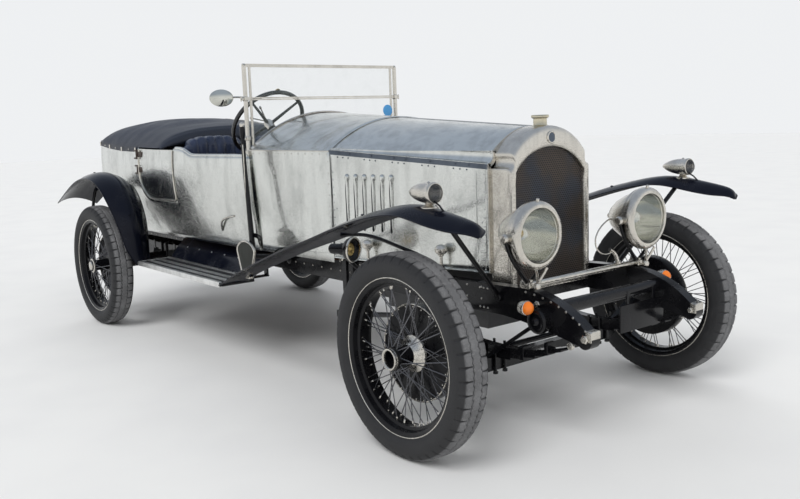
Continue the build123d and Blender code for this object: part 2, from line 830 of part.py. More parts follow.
def tub_shell():
    """Hollow tub with its floor, before the doors are cut."""
    outer = tub_block(0, tail_x)
    outer = fillet(tail_edges(outer, tail_x), tail_corner_radius)
    hollow = tub_block(body_wall, tail_x + body_wall)
    hollow = fillet(tail_edges(hollow, tail_x + body_wall), tail_corner_radius - body_wall)
    hollow = hollow & block((tail_x, screen_x + 100), (-beyond_y, beyond_y), (sill_top_z, above_z))
    return (outer - hollow) - tub_top_cut()


def tail_edges(solid, x):
    """The two upright edges at the tail end of a solid."""
    return [edge for edge in solid.edges() if abs(edge.center().X - x) < 2 and edge.bounding_box().size.Z > 300]


def door_outline(rear_ahead, front_ahead, low_z, rear_round, front_round, inset):
    """Side view of a door opening, with rounded lower corners, drawn in by a gap."""
    rear = rear_axle_x + rear_ahead + inset
    front = rear_axle_x + front_ahead - inset
    low = low_z + inset
    high = 1300
    rr = rear_round - inset
    fr = front_round - inset
    k = math.sqrt(0.5)
    return Polyline((rear, 0, low + rr), (rear, 0, high), (front, 0, high), (front, 0, low + fr)) + ThreePointArc(
        (front, 0, low + fr), (front - fr + fr * k, 0, low + fr - fr * k), (front - fr, 0, low),
    ) + Line((front - fr, 0, low), (rear + rr, 0, low)) + ThreePointArc(
        (rear + rr, 0, low), (rear + rr - rr * k, 0, low + rr - rr * k), (rear, 0, low + rr),
    )


def door_prism(row, side, inset):
    """Prism through one side of the tub in the shape of a door."""
    face = make_face(door_outline(*row, inset))
    prism = Pos(0, 380, 0) * extrude(face, amount=320, dir=(0, 1, 0))
    return prism if side > 0 else mirror(prism, about=Plane.XZ)


def hinge_line(row, at_front):
    """Station of a door's hinge pins."""
    if at_front:
        return rear_axle_x + row[1] - door_gap / 2
    return rear_axle_x + row[0] + door_gap / 2


def belly_half(ahead):
    """Half width of the tub's belly at a station."""
    for (low, _, low_half, _), (high, _, high_half, _) in zip(tub_stations, tub_stations[1:]):
        if low <= ahead <= high:
            return low_half + (high_half - low_half) * (ahead - low) / (high - low)


def door_hinges(row, heights, at_front, side, on_door):
    """Straps and knuckles of one door's hinges: those on the door, or the ears and pins on the body."""
    x = hinge_line(row, at_front)
    hinge_y = belly_half(x - rear_axle_x) + hinge_offset
    away = -1 if at_front else 1
    reach = 56 * away * (1 if on_door else -1)
    strap_x = tuple(sorted((x, x + reach)))
    half = hinge_knuckle_height / 2
    pieces = []
    for z in heights:
        if on_door:
            knuckle_part = Pos(x, hinge_y, z) * Cylinder(hinge_knuckle_radius, hinge_knuckle_height)
            hole = Pos(x, hinge_y, z) * Cylinder(hinge_pin_radius + running_gap, hinge_knuckle_height + 10)
            strap = block(strap_x, (hinge_y - 30, hinge_y - 3), (z - half, z + half))
            pieces.append(knuckle_part.fuse(strap) - hole)
        else:
            pin = Pos(x, hinge_y, z) * Cylinder(hinge_pin_radius, hinge_knuckle_height + 2 * hinge_ear_height)
            for sign in (1, -1):
                ear_z = z + sign * (half + seat_gap + hinge_ear_height / 2)
                low, high = ear_z - hinge_ear_height / 2, ear_z + hinge_ear_height / 2
                ear = Pos(x, hinge_y, ear_z) * Cylinder(hinge_knuckle_radius, hinge_ear_height)
                pin = pin.fuse(ear, block(strap_x, (hinge_y - 30, hinge_y - 3), (low, high)))
            pieces.append(pin)
    if side < 0:
        pieces = [mirror(piece, about=Plane.XZ) for piece in pieces]
    return pieces


def door(row, side, at_front, heights):
    """One door: the tub's wall inside the door's outline, with its hinge straps."""
    wall = tub_walls & door_prism(row, side, door_gap)
    lowered = Pos(0, 0, -door_top_gap) * tub_top_cut()
    panel = wall - lowered
    return panel.fuse(*door_hinges(row, heights, at_front, side, True))


def tub():
    """The tub with its door openings and the fixed half of each hinge."""
    shape = tub_walls
    for row, side, at_front, heights in doors.values():
        shape = shape - door_prism(row, side, 0)
        shape = shape.fuse(*door_hinges(row, heights, at_front, side, False))
    return shape


def scuttle_section(x, half, shoulder, crown, bottom_half):
    """Upright section of the scuttle: sloping sides and an arched top."""
    arch = ThreePointArc((x, -half, shoulder), (x, 0, crown), (x, half, shoulder))
    return Wire([
        arch.edge(), Line((x, half, shoulder), (x, bottom_half, body_bottom_z)),
        Line((x, bottom_half, body_bottom_z), (x, -bottom_half, body_bottom_z)),
        Line((x, -bottom_half, body_bottom_z), (x, -half, shoulder)),
    ])


def scuttle_block(inset):
    """Solid of the scuttle's volume, drawn in by its sheet."""
    rear = scuttle_section(
        screen_x + seat_gap, scuttle_rear_half - inset, scuttle_rear_shoulder_z - inset,
        scuttle_rear_crown_z - inset, scuttle_rear_low_half - inset)
    front = scuttle_section(
        bonnet_rear_x, bonnet_rear_half - inset, bonnet_rear_shoulder_z - inset,
        bonnet_rear_crown_z + 6 - inset, bonnet_rear_half - inset)
    return Solid.make_loft([rear, front], ruled=True)


def scuttle():
    """Arched panel between the bonnet and the screen, open below and at both ends."""
    inner = scuttle_block(scuttle_sheet)
    low = block((screen_x - 10, bonnet_rear_x + 10), (-400, 400), (body_bottom_z - 10, body_bottom_z + scuttle_sheet + 1))
    return (scuttle_block(0) - inner) - low


def floor_and_dash():
    """Footwell boards, the bulkhead behind the engine and the instrument board."""
    room = scuttle_block(scuttle_sheet + seat_gap)
    x_all = (screen_x, bonnet_rear_x - bulkhead_back)
    boards = room & block(x_all, (-600, 600), (body_bottom_z - 5, body_bottom_z + floor_sheet))
    bulkhead = room & block((bonnet_rear_x - bulkhead_back - floor_sheet, bonnet_rear_x - bulkhead_back), (-600, 600), (body_bottom_z, 1400))
    dash = room & block((screen_x + 12, screen_x + 30), (-600, 600), (dash_low_z, 1400))
    column = rod(column_point(0), column_point(column_length), column_radius + seat_gap)
    return [boards.fuse(bulkhead) - column, dash - column]


def windscreen_frame():
    """Posts, top bar and centre bar of the screen, with the mirror on its arm."""
    y = screen_half_width
    x = screen_x - screen_back
    shape = None
    for side in (1, -1):
        post = block((x - 12, x + 12), tuple(sorted((side * (y - 9), side * (y + 9)))), (post_low_z, screen_top_z))
        shape = post if shape is None else shape.fuse(post)
    for z in (screen_top_z - 9, screen_split_z):
        shape = shape.fuse(block((x - 7, x + 7), (-y, y), (z - 7, z + 7)))
    arm = rod((x, -y, 1425), (x - 30, -y - 105, 1425), 6)
    glass = rod((x - 45, -y - 125, 1425), (x - 27, -y - 120, 1425), 55)
    return shape.fuse(arm, glass)


def windscreen_glass():
    """Two panes: a plain one above and one cut to the scuttle's arch below."""
    x = screen_x - screen_back
    y = screen_half_width - 9 - seat_gap
    upper = block((x - 3, x + 3), (-y, y), (screen_split_z + 7 + seat_gap, screen_top_z - 16 - seat_gap))
    low_rise = ThreePointArc(
        (0, -y, scuttle_rear_shoulder_z + 8), (0, 0, scuttle_rear_crown_z + 4), (0, y, scuttle_rear_shoulder_z + 8))
    top = screen_split_z - 7 - seat_gap
    frame_line = Polyline((0, y, scuttle_rear_shoulder_z + 8), (0, y, top), (0, -y, top), (0, -y, scuttle_rear_shoulder_z + 8))
    face = make_face(low_rise + frame_line)
    lower = Pos(x - 3, 0, 0) * extrude(face, amount=6, dir=(1, 0, 0))
    return [upper, lower]


def cushion(x_range, y_range, z_range, radius):
    """Padded block with rounded edges."""
    return fillet(block(x_range, y_range, z_range).edges(), radius)


def seats():
    """Two front seats and one rear bench, each a cushion and a leaning back."""
    floor_z = sill_top_z + seat_gap
    pieces = []
    front_x = rear_axle_x + front_seat_ahead
    for side in (1, -1):
        low, high = sorted((side * 22, side * front_seat_outer_y))
        pieces.append(cushion((front_x, front_x + 480), (low, high), (floor_z, front_seat_z), 28))
        back = cushion((front_x - 120, front_x - seat_gap), (low, high), (floor_z, seat_back_z), 40)
        pieces.append(back)
    rear_x = rear_axle_x + rear_seat_ahead
    pieces.append(cushion((rear_x, rear_x + 420), (-rear_seat_half, rear_seat_half), (floor_z, front_seat_z + 20), 28))
    pieces.append(cushion((rear_x - 110, rear_x - seat_gap), (-rear_seat_half, rear_seat_half), (floor_z, 1120), 36))
    return pieces


def tonneau_cover():
    """Domed cover over the rear seats and the folded hood, resting on the coaming."""
    # Columns: ahead of the rear axle, half width, edge height, crown height
    stations = [
        (-622, 470, 1211, 1262),
        (-540, 528, 1203, 1310),
        (-340, 544, 1183, 1338),
        (-80, 552, 1166, 1344),
        (tonneau_front_ahead, 562, 1158, 1290),
    ]
    wires = []
    for ahead, half, edge_z, crown_z in stations:
        x = rear_axle_x + ahead
        z = edge_z + seat_gap
        arch = ThreePointArc((x, -half, z), (x, 0, crown_z), (x, half, z))
        wires.append(Wire([arch.edge(), Line((x, half, z), (x, -half, z))]))
    return Solid.make_loft(wires, ruled=True)


# Wings and boards

def wing(stations):
    """Crowned sheet wing lofted through sections square to its path."""
    faces = []
    for ahead, z, slope, outer, inner, crown, drop in stations:
        angle = math.radians(slope)
        plane = Plane(
            origin=(rear_axle_x + ahead, 0, z), x_dir=(0, 1, 0),
            z_dir=(math.cos(angle), 0, math.sin(angle)))
        middle = (outer + inner) / 2
        sheet = wing_sheet
        upper = ThreePointArc((inner, -drop), (middle, crown), (outer, 0))
        lower = ThreePointArc((outer, -sheet), (middle, crown - sheet), (inner, -drop - sheet))
        outline = upper + Line((outer, 0), (outer, -sheet)) + lower + Line((inner, -drop - sheet), (inner, -drop))
        faces.append(plane * make_face(outline))
    return loft(faces, ruled=True)


def front_wing():
    """Long sweeping wing from the running board up over the front wheel to a point."""
    outer = wing_outer_y
    start = wing_foot_gap - front_wing_reach
    # Columns: ahead of the front axle, height of the outer edge, slope, outer y, inner y, crown, inner edge drop
    stations = [
        (start, 443, 22, board_outer_y, outer - 308, 4, 0),
        (-1545, 488, 22, outer - 126, outer - 283, 4, 0),
        (-1424, 531, 19, outer - 108, outer - 258, 6, 4),
        (-1194, 608, 18, outer - 83, outer - 233, 8, 8),
        (-864, 711, 17, outer - 48, outer - 213, 12, 10),
        (-573, 793, 16, outer - 23, outer - 203, 18, 10),
        (-285, 877, 14, outer - 6, outer - 196, 24, 8),
        (-85, 922, 9, outer, outer - 188, 28, 4),
        (75, 934, 0, outer, outer - 178, 30, 2),
        (195, 914, -8, outer - 2, outer - 168, 34, 0),
        (285, 899, -6, outer - 18, outer - 152, 34, 0),
        (365, 893, -2, outer - 42, outer - 126, 22, 0),
        (423, 899, 0, outer - 76, outer - 100, 6, 0),
    ]
    return wing([(wheelbase + row[0],) + row[1:] for row in stations])


def rear_wing():
    """Rounded wing over the rear wheel, narrowing down to the running board."""
    outer = wing_outer_y
    inner = tub_stations[2][2] + wing_body_gap
    # Columns: ahead of the rear axle, height of the outer edge, slope, outer y, inner y, crown, inner edge drop
    stations = [
        (-600, 783, 40, outer, inner, 36, 30),
        (-438, 852, 26, outer, inner, 38, 32),
        (-200, 940, 14, outer, inner, 36, 36),
        (30, 974, 0, outer, inner, 34, 44),
        (205, 945, -22, outer, inner, 36, 60),
        (333, 867, -42, outer - 3, inner, 40, 90),
        (406, 770, -60, outer - 18, inner + 2, 42, 100),
        (437, 690, -76, outer - 36, inner + 6, 42, 96),
        (444, 610, -82, outer - 56, inner + 12, 40, 80),
        (450, 520, -80, outer - 83, inner + 25, 24, 56),
        (board_rear_ahead - 11, board_top_z - 20, -80, board_outer_y, inner + 48, 5, 8),
    ]
    return wing(stations)


def running_board():
    """Flat board carried by two brackets from the rail."""
    rear = rear_axle_x + board_rear_ahead
    front = rear_axle_x + board_front_ahead
    low = board_top_z - board_sheet
    rail_side = rail_y + rail_width / 2 + seat_gap
    shape = block((rear, front), (board_inner_y, board_outer_y), (low, board_top_z))
    for x in (rear + 150, front - 150):
        arm = block((x - 18, x + 18), (rail_side, board_outer_y - 30), (low - 16, low))
        riser = block((x - 18, x + 18), (rail_side, rail_side + 12), (low - 16, rail_top_z - 30))
        shape = shape.fuse(arm, riser)
    return shape


# Lamps and fittings

def lamp_bar():
    """Tube across the rails with a forked bracket for each headlamp."""
    x = lamp_bar_x
    lift = rail_top_z + dumb_iron_rise
    bar_z = lift + lamp_bar_radius + 2
    shape = rod((x, -rail_y - 20, bar_z), (x, rail_y + 20, bar_z), lamp_bar_radius)
    for side in (1, -1):
        y = side * lamp_y
        foot = block((x - 26, x + 26), (y - 20, y + 20), (lift + seat_gap, lift + 40))
        stem = rod((x, y, lift + 30), (lamp_x - 40, y, lamp_z - lamp_radius - 26), 13)
        yoke = rod((lamp_x - 40, y, lamp_z - lamp_radius - 34), (lamp_x - 40, y, lamp_z - lamp_radius - 12), 20)
        shape = shape.fuse(foot, stem, yoke)
        for prong in (1, -1):
            tip = (lamp_x - 40, y + prong * (lamp_radius + 10), lamp_z)
            low = (lamp_x - 40, y + prong * 8, lamp_z - lamp_radius - 22)
            knee = (lamp_x - 40, y + prong * (lamp_radius + 4), lamp_z - 70)
            shape = shape.fuse(rod(low, knee, 8), rod(knee, tip, 8), Pos(*knee) * Sphere(8))
    return shape


def headlamp():
    """Bowl of one headlamp, opening ahead, with its bulb."""
    profile = [
        (-196, 0), (-193, 20), (-180, 38), (-150, 66), (-115, 90), (-75, 107), (-40, lamp_radius - 15),
        (-14, lamp_radius - 11), (-12, lamp_radius - 2), (-6, lamp_radius), (4, lamp_radius), (10, lamp_radius - 4),
        (10, lamp_radius - 12), (-4, lamp_radius - 12),
        (-4, lamp_radius - 18), (-40, lamp_radius - 20), (-92, 90), (-146, 54), (-182, 20), (-186, 0),
    ]
    bowl = revolve(make_face(Polyline(*[(x, 0, r) for x, r in profile], close=True)), Axis.X)
    bulb = rod((-188, 0, 0), (-110, 0, 0), 11).fuse(Pos(-104, 0, 0) * Sphere(20))
    trunnion = rod((-40, -lamp_radius - 1.2, 0), (-40, -lamp_radius + 25, 0), 9)
    trunnions = trunnion.fuse(mirror(trunnion, about=Plane.XZ))
    return Pos(lamp_x, lamp_y, lamp_z) * bowl.fuse(bulb, trunnions)


def headlamp_glass():
    """Slightly domed lens held inside the headlamp's rim."""
    r = lamp_radius - 12 - seat_gap
    profile = [(-3.7, 0), (-3.7, r), (1, r), (7, r * 0.66), (10, r * 0.3), (10, 0)]
    lens = revolve(make_face(Polyline(*[(x, 0, y) for x, y in profile], close=True)), Axis.X)
    return Pos(lamp_x, lamp_y, lamp_z) * lens


def side_lamp():
    """Torpedo-shaped lamp on a short stem, standing on the front wing."""
    # Columns: along the lamp, radius
    profile = [(-110, 0), (-96, 9), (-66, 19), (-30, 29), (4, 35), (26, 36), (38, 31), (44, 18), (46, 0)]
    shape = revolve(make_face(Polyline(*[(x, 0, r) for x, r in profile], close=True)), Axis.X)
    stem = rod((0, 0, -side_lamp_lift), (0, 0, -10), 10)
    place = Pos(side_lamp_x, side_lamp_y, side_lamp_z)
    return cut_to(place * shape.fuse(stem), front_wing())


def indicator():
    """Small round lamp on a stalk from the dumb iron."""
    x = indicator_x
    y = indicator_y
    foot, end = rail_foot(x - 10, indicator_z, 14)
    dome = rod((x - 26, y, indicator_z), (x + 12, y, indicator_z), 26).fuse(Pos(x + 12, y, indicator_z) * Sphere(24))
    return dome.fuse(foot, rod(end, (x - 10, y - 20, indicator_z), 7))


def horn():
    """Horn on the right rail, its bell facing ahead."""
    # Columns: along the horn, radius
    profile = [(-96, 0), (-96, 18), (-88, 24), (-20, 24), (-8, 30), (6, 44), (14, 46), (18, 44), (4, 30), (-8, 16), (-8, 0)]
    bell = revolve(make_face(Polyline(*[(along, 0, r) for along, r in profile], close=True)), Axis.X)
    arm_x = horn_x - 50
    foot, end = rail_foot(arm_x, horn_foot_z, 18)
    arm = rod(end, (arm_x, horn_y, horn_z - 12), 9)
    return mirror((Pos(horn_x, horn_y, horn_z) * bell).fuse(foot, arm), about=Plane.XZ)


def wing_stays():
    """Tubes from the rails out to the front wings, and bent irons up to the rear wings."""
    foot, end = rail_foot(front_axle_x + 55, 560, 18)
    front = foot.fuse(rod(end, (front_axle_x + 150, side_lamp_y - 18, 968), stay_radius))
    foot, end = rail_foot(front_axle_x - 235, 560, 18)
    knee = (front_axle_x - 245, 575, 792)
    tip = (front_axle_x - 560, 770, 800)
    arched = foot.fuse(bent_tube([end, knee, tip], 110, stay_radius))
    x = rear_axle_x + rear_stay_ahead
    foot, end = rail_foot(x, rail_top_z - 35, 18)
    iron = foot.fuse(bent_tube([end, (x, rear_stay_y, rail_top_z - 35), (x, rear_stay_y, 905)], 40, stay_radius))
    pieces = [cut_to(front, front_wing()), cut_to(arched, front_wing()), cut_to(iron, rear_wing())]
    return [piece for stay in pieces for piece in pair(stay)]


# Controls

def column_point(along):
    """Point on the steering column, measured down it from the wheel's centre."""
    rake = math.radians(column_rake)
    return (
        rear_axle_x + steering_wheel_ahead + along * math.cos(rake), steering_wheel_y,
        steering_wheel_z - along * math.sin(rake),
    )


def steering_box():
    """Column tube and the steering box bolted to the right rail."""
    tube = rod(column_point(60), column_point(column_length), column_radius)
    bore = rod(column_point(50), column_point(column_length - 60), steering_shaft_radius + running_gap)
    end = Vector(*column_point(column_length))
    box = block(
        (end.X - 50, end.X + 80), (-rail_y + rail_width / 2 + seat_gap, steering_wheel_y + 45), (end.Z - 75, end.Z + 60))
    cross_bore = rod(
        (end.X, -rail_y + rail_width / 2, end.Z + 2), (end.X, -rail_y + rail_width / 2 + 60, end.Z + 2),
        cross_shaft_radius + running_gap)
    return tube.fuse(box) - bore - cross_bore


def steering_wheel():
    """Rim, four spokes and hub on the shaft inside the column."""
    start = Vector(*column_point(0))
    axis = Vector(*column_point(1)) - start
    plane = Plane(origin=start, x_dir=(0, 1, 0), z_dir=axis)
    rim_path = plane * Circle(steering_wheel_radius).edge()
    rim_part = sweep(Plane(origin=rim_path @ 0, z_dir=rim_path % 0) * Circle(steering_rim_radius), rim_path)
    hub_part = rod(column_point(-22), column_point(50), 30)
    shaft = rod(column_point(0), column_point(column_length - 90), steering_shaft_radius)
    shape = rim_part.fuse(hub_part, shaft)
    for angle in (45, 135, 225, 315):
        a = math.radians(angle)
        tip = plane.from_local_coords(Vector(
            (steering_wheel_radius - 4) * math.cos(a), (steering_wheel_radius - 4) * math.sin(a), 0))
        shape = shape.fuse(rod(column_point(8), (tip.X, tip.Y, tip.Z), 8))
    return shape


def handbrake_lever():
    """Outside lever rising from the right rail beside the cockpit, with its quadrant."""
    x = rear_axle_x + handbrake_ahead
    y = -handbrake_y
    lever = rod((x + 40, y, handbrake_low_z), (x - 5, y, handbrake_grip_z), 13)
    grip = rod((x - 5, y, handbrake_grip_z), (x - 2, y, handbrake_top_z), 17)
    foot, end = rail_foot(x + 40, handbrake_low_z - 40, 24)
    arm = rod((x + 40, y, handbrake_low_z), (end[0], -end[1], end[2]), 16)
    return lever.fuse(grip, mirror(foot, about=Plane.XZ), arm)


def drop_arm():
    """Arm hanging from the steering box's cross shaft outside the right rail."""
    end = Vector(*column_point(column_length))
    inner = -rail_y + rail_width / 2 + 55
    shaft = rod((end.X, inner, end.Z + 2), (end.X, -drop_arm_y - 10, end.Z + 2), cross_shaft_radius)
    low_z = end.Z - drop_arm_length
    # Columns: half width and height of the arm's ends
    outline = [(-18, end.Z + 14), (18, end.Z + 14), (13, low_z), (-13, low_z)]
    arm = side_plate([(end.X + half, z) for half, z in outline], -drop_arm_y - 10, -drop_arm_y + 6)
    pin_z = low_z + 14
    pin = rod((end.X, -drop_arm_y, pin_z), (end.X, -drop_arm_y - drop_arm_eye_gap, pin_z), track_rod_pin_radius)
    return shaft.fuse(arm, pin)


def drag_link():
    """Tube from the right knuckle's lever back to the drop arm's pin."""
    end = Vector(*column_point(column_length))
    front_z = tyre_radius + kingpin_boss_height / 2 + seat_gap + knuckle_ear + 10 + seat_gap + 14
    front = (front_axle_x, -kingpin_y + drag_arm_length, front_z)
    rear = (end.X + 30, -drop_arm_y - drop_arm_eye_gap - seat_gap - 14, end.Z - drop_arm_length + 14)
    neck = (front[0] - 40, front[1] + 2, front[2])
    tube = rod(rear, neck, drag_link_radius).fuse(Pos(*neck) * Sphere(drag_link_radius), rod(neck, front, drag_link_radius))
    eye = Pos(*front) * Cylinder(20, 28)
    hole = Pos(*front) * Cylinder(track_rod_pin_radius + running_gap, 60)
    head = block((end.X - 16, end.X + 44), (rear[1] - 14, rear[1] + 14), (rear[2] - 16, rear[2] + 16))
    return tube.fuse(eye, head) - hole


# Every door: its outline, side of the car, whether its hinges are at the front edge, hinge heights
doors = {
    "door_rear_right": (rear_door, -1, False, (1020, 1118)),
    "door_rear_left": (rear_door, 1, False, (1020, 1118)),
    "door_front_left": (front_door, 1, True, (850, 1070)),
}
tub_walls = tub_shell()

nodes = {}
tyre_shape = tyre()
for corner, axle_x, has_cap in (("front", front_axle_x, False), ("rear", rear_axle_x, True)):
    wheel = wire_wheel(has_cap)
    for name, side in (("left", 1), ("right", -1)):
        nodes[f"tyre_{corner}_{name}"] = place_wheel(tyre_shape, axle_x, side)
        nodes[f"wheel_{corner}_{name}"] = place_wheel(wheel, axle_x, side)
for name, side in (("left", 1), ("right", -1)):
    nodes[f"knuckle_{name}"] = knuckle(side)
    nodes[f"bonnet_{name}"] = bonnet_half(side)
for name, (row, side, at_front, heights) in doors.items():
    nodes[name] = door(row, side, at_front, heights)
nodes["chassis_frame"] = chassis_frame()
nodes["springs_and_dampers"] = group(spring_pack() + pair(friction_damper()))
nodes["front_axle"] = front_axle()
nodes["rear_axle"] = rear_axle()
nodes["track_rod"] = track_rod()
nodes["drop_arm"] = drop_arm()
nodes["drag_link"] = drag_link()
nodes["steering_box"] = steering_box()
nodes["steering_wheel"] = steering_wheel()
nodes["engine"] = engine()
nodes["exhaust"] = exhaust()
nodes["fuel_tank"] = fuel_tank()
nodes["radiator_shell"] = radiator_shell()
nodes["radiator_core"] = radiator_core()
nodes["scuttle"] = scuttle()
nodes["body_tub"] = tub()
nodes["floor_and_dash"] = group(floor_and_dash())
nodes["windscreen_frame"] = windscreen_frame()
nodes["windscreen_glass"] = group(windscreen_glass())
nodes["seats"] = group(seats())
nodes["tonneau_cover"] = tonneau_cover()
nodes["front_wings"] = group(pair(front_wing()))
nodes["rear_wings"] = group(pair(rear_wing()))
nodes["running_boards"] = group(pair(running_board()))
nodes["wing_stays"] = group(wing_stays())
nodes["lamp_bar"] = lamp_bar()
nodes["headlamps"] = group(pair(headlamp()))
nodes["headlamp_glasses"] = group(pair(headlamp_glass()))
nodes["lamps_and_horn"] = group(pair(side_lamp()) + pair(indicator()) + [horn()])
nodes["handbrake_lever"] = handbrake_lever()

os.makedirs("parts", exist_ok=True)
for node, shape in nodes.items():
    export_step(shape, f"parts/{node}.step")
print(len(nodes), "nodes")
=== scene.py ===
import bmesh
import bpy
import json
import math
import numpy as np
from mathutils import Matrix, Vector


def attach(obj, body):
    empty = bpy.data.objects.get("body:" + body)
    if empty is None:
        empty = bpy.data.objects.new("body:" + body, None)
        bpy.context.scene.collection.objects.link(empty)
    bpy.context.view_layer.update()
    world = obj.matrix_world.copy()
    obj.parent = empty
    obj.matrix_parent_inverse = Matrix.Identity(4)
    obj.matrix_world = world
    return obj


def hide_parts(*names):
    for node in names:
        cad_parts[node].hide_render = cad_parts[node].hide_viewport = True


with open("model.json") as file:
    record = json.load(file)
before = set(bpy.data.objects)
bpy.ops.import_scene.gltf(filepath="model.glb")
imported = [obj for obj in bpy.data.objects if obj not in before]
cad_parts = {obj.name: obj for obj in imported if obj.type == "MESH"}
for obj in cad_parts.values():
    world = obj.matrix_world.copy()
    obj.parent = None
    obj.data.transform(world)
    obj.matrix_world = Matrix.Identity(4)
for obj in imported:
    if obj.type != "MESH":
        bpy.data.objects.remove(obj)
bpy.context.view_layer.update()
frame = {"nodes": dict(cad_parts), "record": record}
nodes = frame["nodes"]

# Tables are in millimetres, measured ahead of the rear axle, which stands at this x.
rear_axle_x = -1564.0
wheelbase = 3245.0
half_track = 795.0
tyre_radius = 395.0
screen_ahead = 1594.0
bonnet_rear = 2254.0
radiator_rear = 3158.0
radiator_front = 3270.0
body_low = 600.3


# Camera

def make_camera():
    """Camera placed and turned as the photograph's: yaw, pitch, roll and focal length in pixels."""
    yaw, pitch, roll = math.radians(51.82), math.radians(8.434), math.radians(-2.087)
    back = Vector((math.sin(yaw) * math.cos(pitch), -math.cos(yaw) * math.cos(pitch), math.sin(pitch)))
    level = (-back).cross(Vector((0, 0, 1))).normalized()
    upright = level.cross(-back)
    right = level * math.cos(roll) + upright * math.sin(roll)
    up = upright * math.cos(roll) - level * math.sin(roll)
    data = bpy.data.cameras.new("photo_camera")
    sensor_width, focal_pixels, picture_pixels = 36.0, 862.15, 800.0
    data.sensor_fit = "HORIZONTAL"
    data.sensor_width = sensor_width
    data.lens = sensor_width * focal_pixels / picture_pixels
    data.clip_end = 200.0
    camera = bpy.data.objects.new("photo_camera", data)
    bpy.context.collection.objects.link(camera)
    place = Matrix((right, up, back)).transposed().to_4x4()
    place.translation = Vector((4.1625, -2.7591, 1.2690))
    camera.matrix_world = place
    bpy.context.scene.camera = camera


# Directions along the car, to its left and up
forward, leftward, upward = np.eye(3)


# Shapes: each is an array of points and an array of four-cornered faces

def fair(table, at):
    """Table columns at new stations: the natural cubic spline through the rows."""
    table = np.asarray(table, float)
    x, y = table[:, 0], table[:, 1:]
    run = np.diff(x)
    system = np.eye(len(x))
    k = np.arange(1, len(x) - 1)
    system[k, k - 1], system[k, k], system[k, k + 1] = run[:-1], 2 * (run[:-1] + run[1:]), run[1:]
    turn = np.zeros_like(y)
    turn[1:-1] = 6 * np.diff(np.diff(y, axis=0) / run[:, None], axis=0)
    bend = np.linalg.solve(system, turn)
    i = np.clip(np.searchsorted(x, at) - 1, 0, len(x) - 2)
    a, b, w = (x[i + 1] - at)[:, None], (at - x[i])[:, None], run[i][:, None]
    cubic = (bend[i] * a**3 + bend[i + 1] * b**3) / (6 * w)
    return cubic + (y[i] / w - bend[i] * w / 6) * a + (y[i + 1] / w - bend[i + 1] * w / 6) * b


def run_along(line):
    """Distance along a line of points in a plane, at each of them."""
    return np.concatenate([[0], np.cumsum(np.hypot(*np.diff(line, axis=0).T))])


def at_lengths(line, at):
    """Points of a line in a plane at distances along it."""
    length = run_along(line)
    return np.column_stack([np.interp(at, length, line[:, 0]), np.interp(at, length, line[:, 1])])


def through(points, count):
    """Evenly parted points on a fair curve through the given ones, by the length of its chords."""
    points = np.asarray(points, float)
    length = np.concatenate([[0.0], np.cumsum(np.linalg.norm(np.diff(points, axis=0), axis=1))])
    return fair(np.column_stack([length, points]), np.linspace(0.0, length[-1], count))


def grid_faces(rows, columns, wrap=False):
    """Quads between neighbouring points of a grid, joined round its columns where it wraps."""
    index = np.arange(rows * columns).reshape(rows, columns)
    if wrap:
        index = np.hstack([index, index[:, :1]])
    return np.stack([index[:-1, :-1], index[1:, :-1], index[1:, 1:], index[:-1, 1:]], -1).reshape(-1, 4)


def sheet_of(grid):
    """A grid of points as a shape."""
    return grid.reshape(-1, 3), grid_faces(*grid.shape[:2])


def gather(*shapes):
    """One shape from several: their points stacked and their faces renumbered."""
    starts = np.cumsum([0] + [len(points) for points, _ in shapes])
    faces = [faces + start for (_, faces), start in zip(shapes, starts)]
    return np.concatenate([points for points, _ in shapes]), np.concatenate(faces)


def mirrored(shape):
    """The shape on the other side of the car: y changes sign and each face turns back."""
    points, faces = shape
    return points * (1.0, -1.0, 1.0), faces[:, ::-1]


def upended(shape):
    """The shape with its heights laid across and its places across stood up."""
    points, faces = shape
    return points[:, [0, 2, 1]], faces


def both(shape):
    """The shape and its mirror image."""
    return gather(shape, mirrored(shape))


def moved(shape, turns, places):
    """Copies of a shape: every point turned by each 3 by 3 matrix, then moved to each place."""
    points, faces = shape
    turns, places = np.asarray(turns, float), np.asarray(places, float)
    copies = np.einsum("kij,nj->kni", turns, points) + places[:, None, :]
    starts = np.arange(len(places))[:, None, None] * len(points)
    return copies.reshape(-1, 3), (faces[None] + starts).reshape(-1, 4)


def facing(directions, upright=upward):
    """Turns that carry x onto each direction, with z as near upright as it can be."""
    x = np.atleast_2d(np.asarray(directions, float))
    x = x / np.linalg.norm(x, axis=1, keepdims=True)
    y = np.cross(np.broadcast_to(upright, x.shape), x)
    y = y / np.linalg.norm(y, axis=1, keepdims=True)
    return np.stack([x, y, np.cross(x, y)], -1)


def stud(shape, places, directions=forward):
    """Copies of a shape made along x, each set at its place and facing its direction."""
    places = np.atleast_2d(np.asarray(places, float))
    directions = np.broadcast_to(np.asarray(directions, float), places.shape)
    steep = abs(directions[0][2]) >= 0.9 * np.linalg.norm(directions[0])
    return moved(shape, facing(directions, leftward if steep else upward), places)


def lathe(profile, count=48):
    """Turned solid on the x axis: each row of the profile, along and radius, swept round in a ring."""
    along, radius = np.asarray(profile, float).T
    angle = np.linspace(0.0, 2 * np.pi, count, endpoint=False)
    x = np.repeat(along[:, None], count, 1)
    y, z = radius[:, None] * np.cos(angle), radius[:, None] * np.sin(angle)
    return np.stack([x, y, z], -1).reshape(-1, 3), grid_faces(len(along), count, True)


def turned(profile, place, direction, count=48):
    """A turned solid set at a place, facing a direction."""
    return stud(lathe(profile, count), place, direction)


def bar_profile(radius, length, start=0):
    """Profile of a plain round bar from a start to a length along its axis."""
    return [(start, 0), (start, radius), (length, radius), (length, 0)]


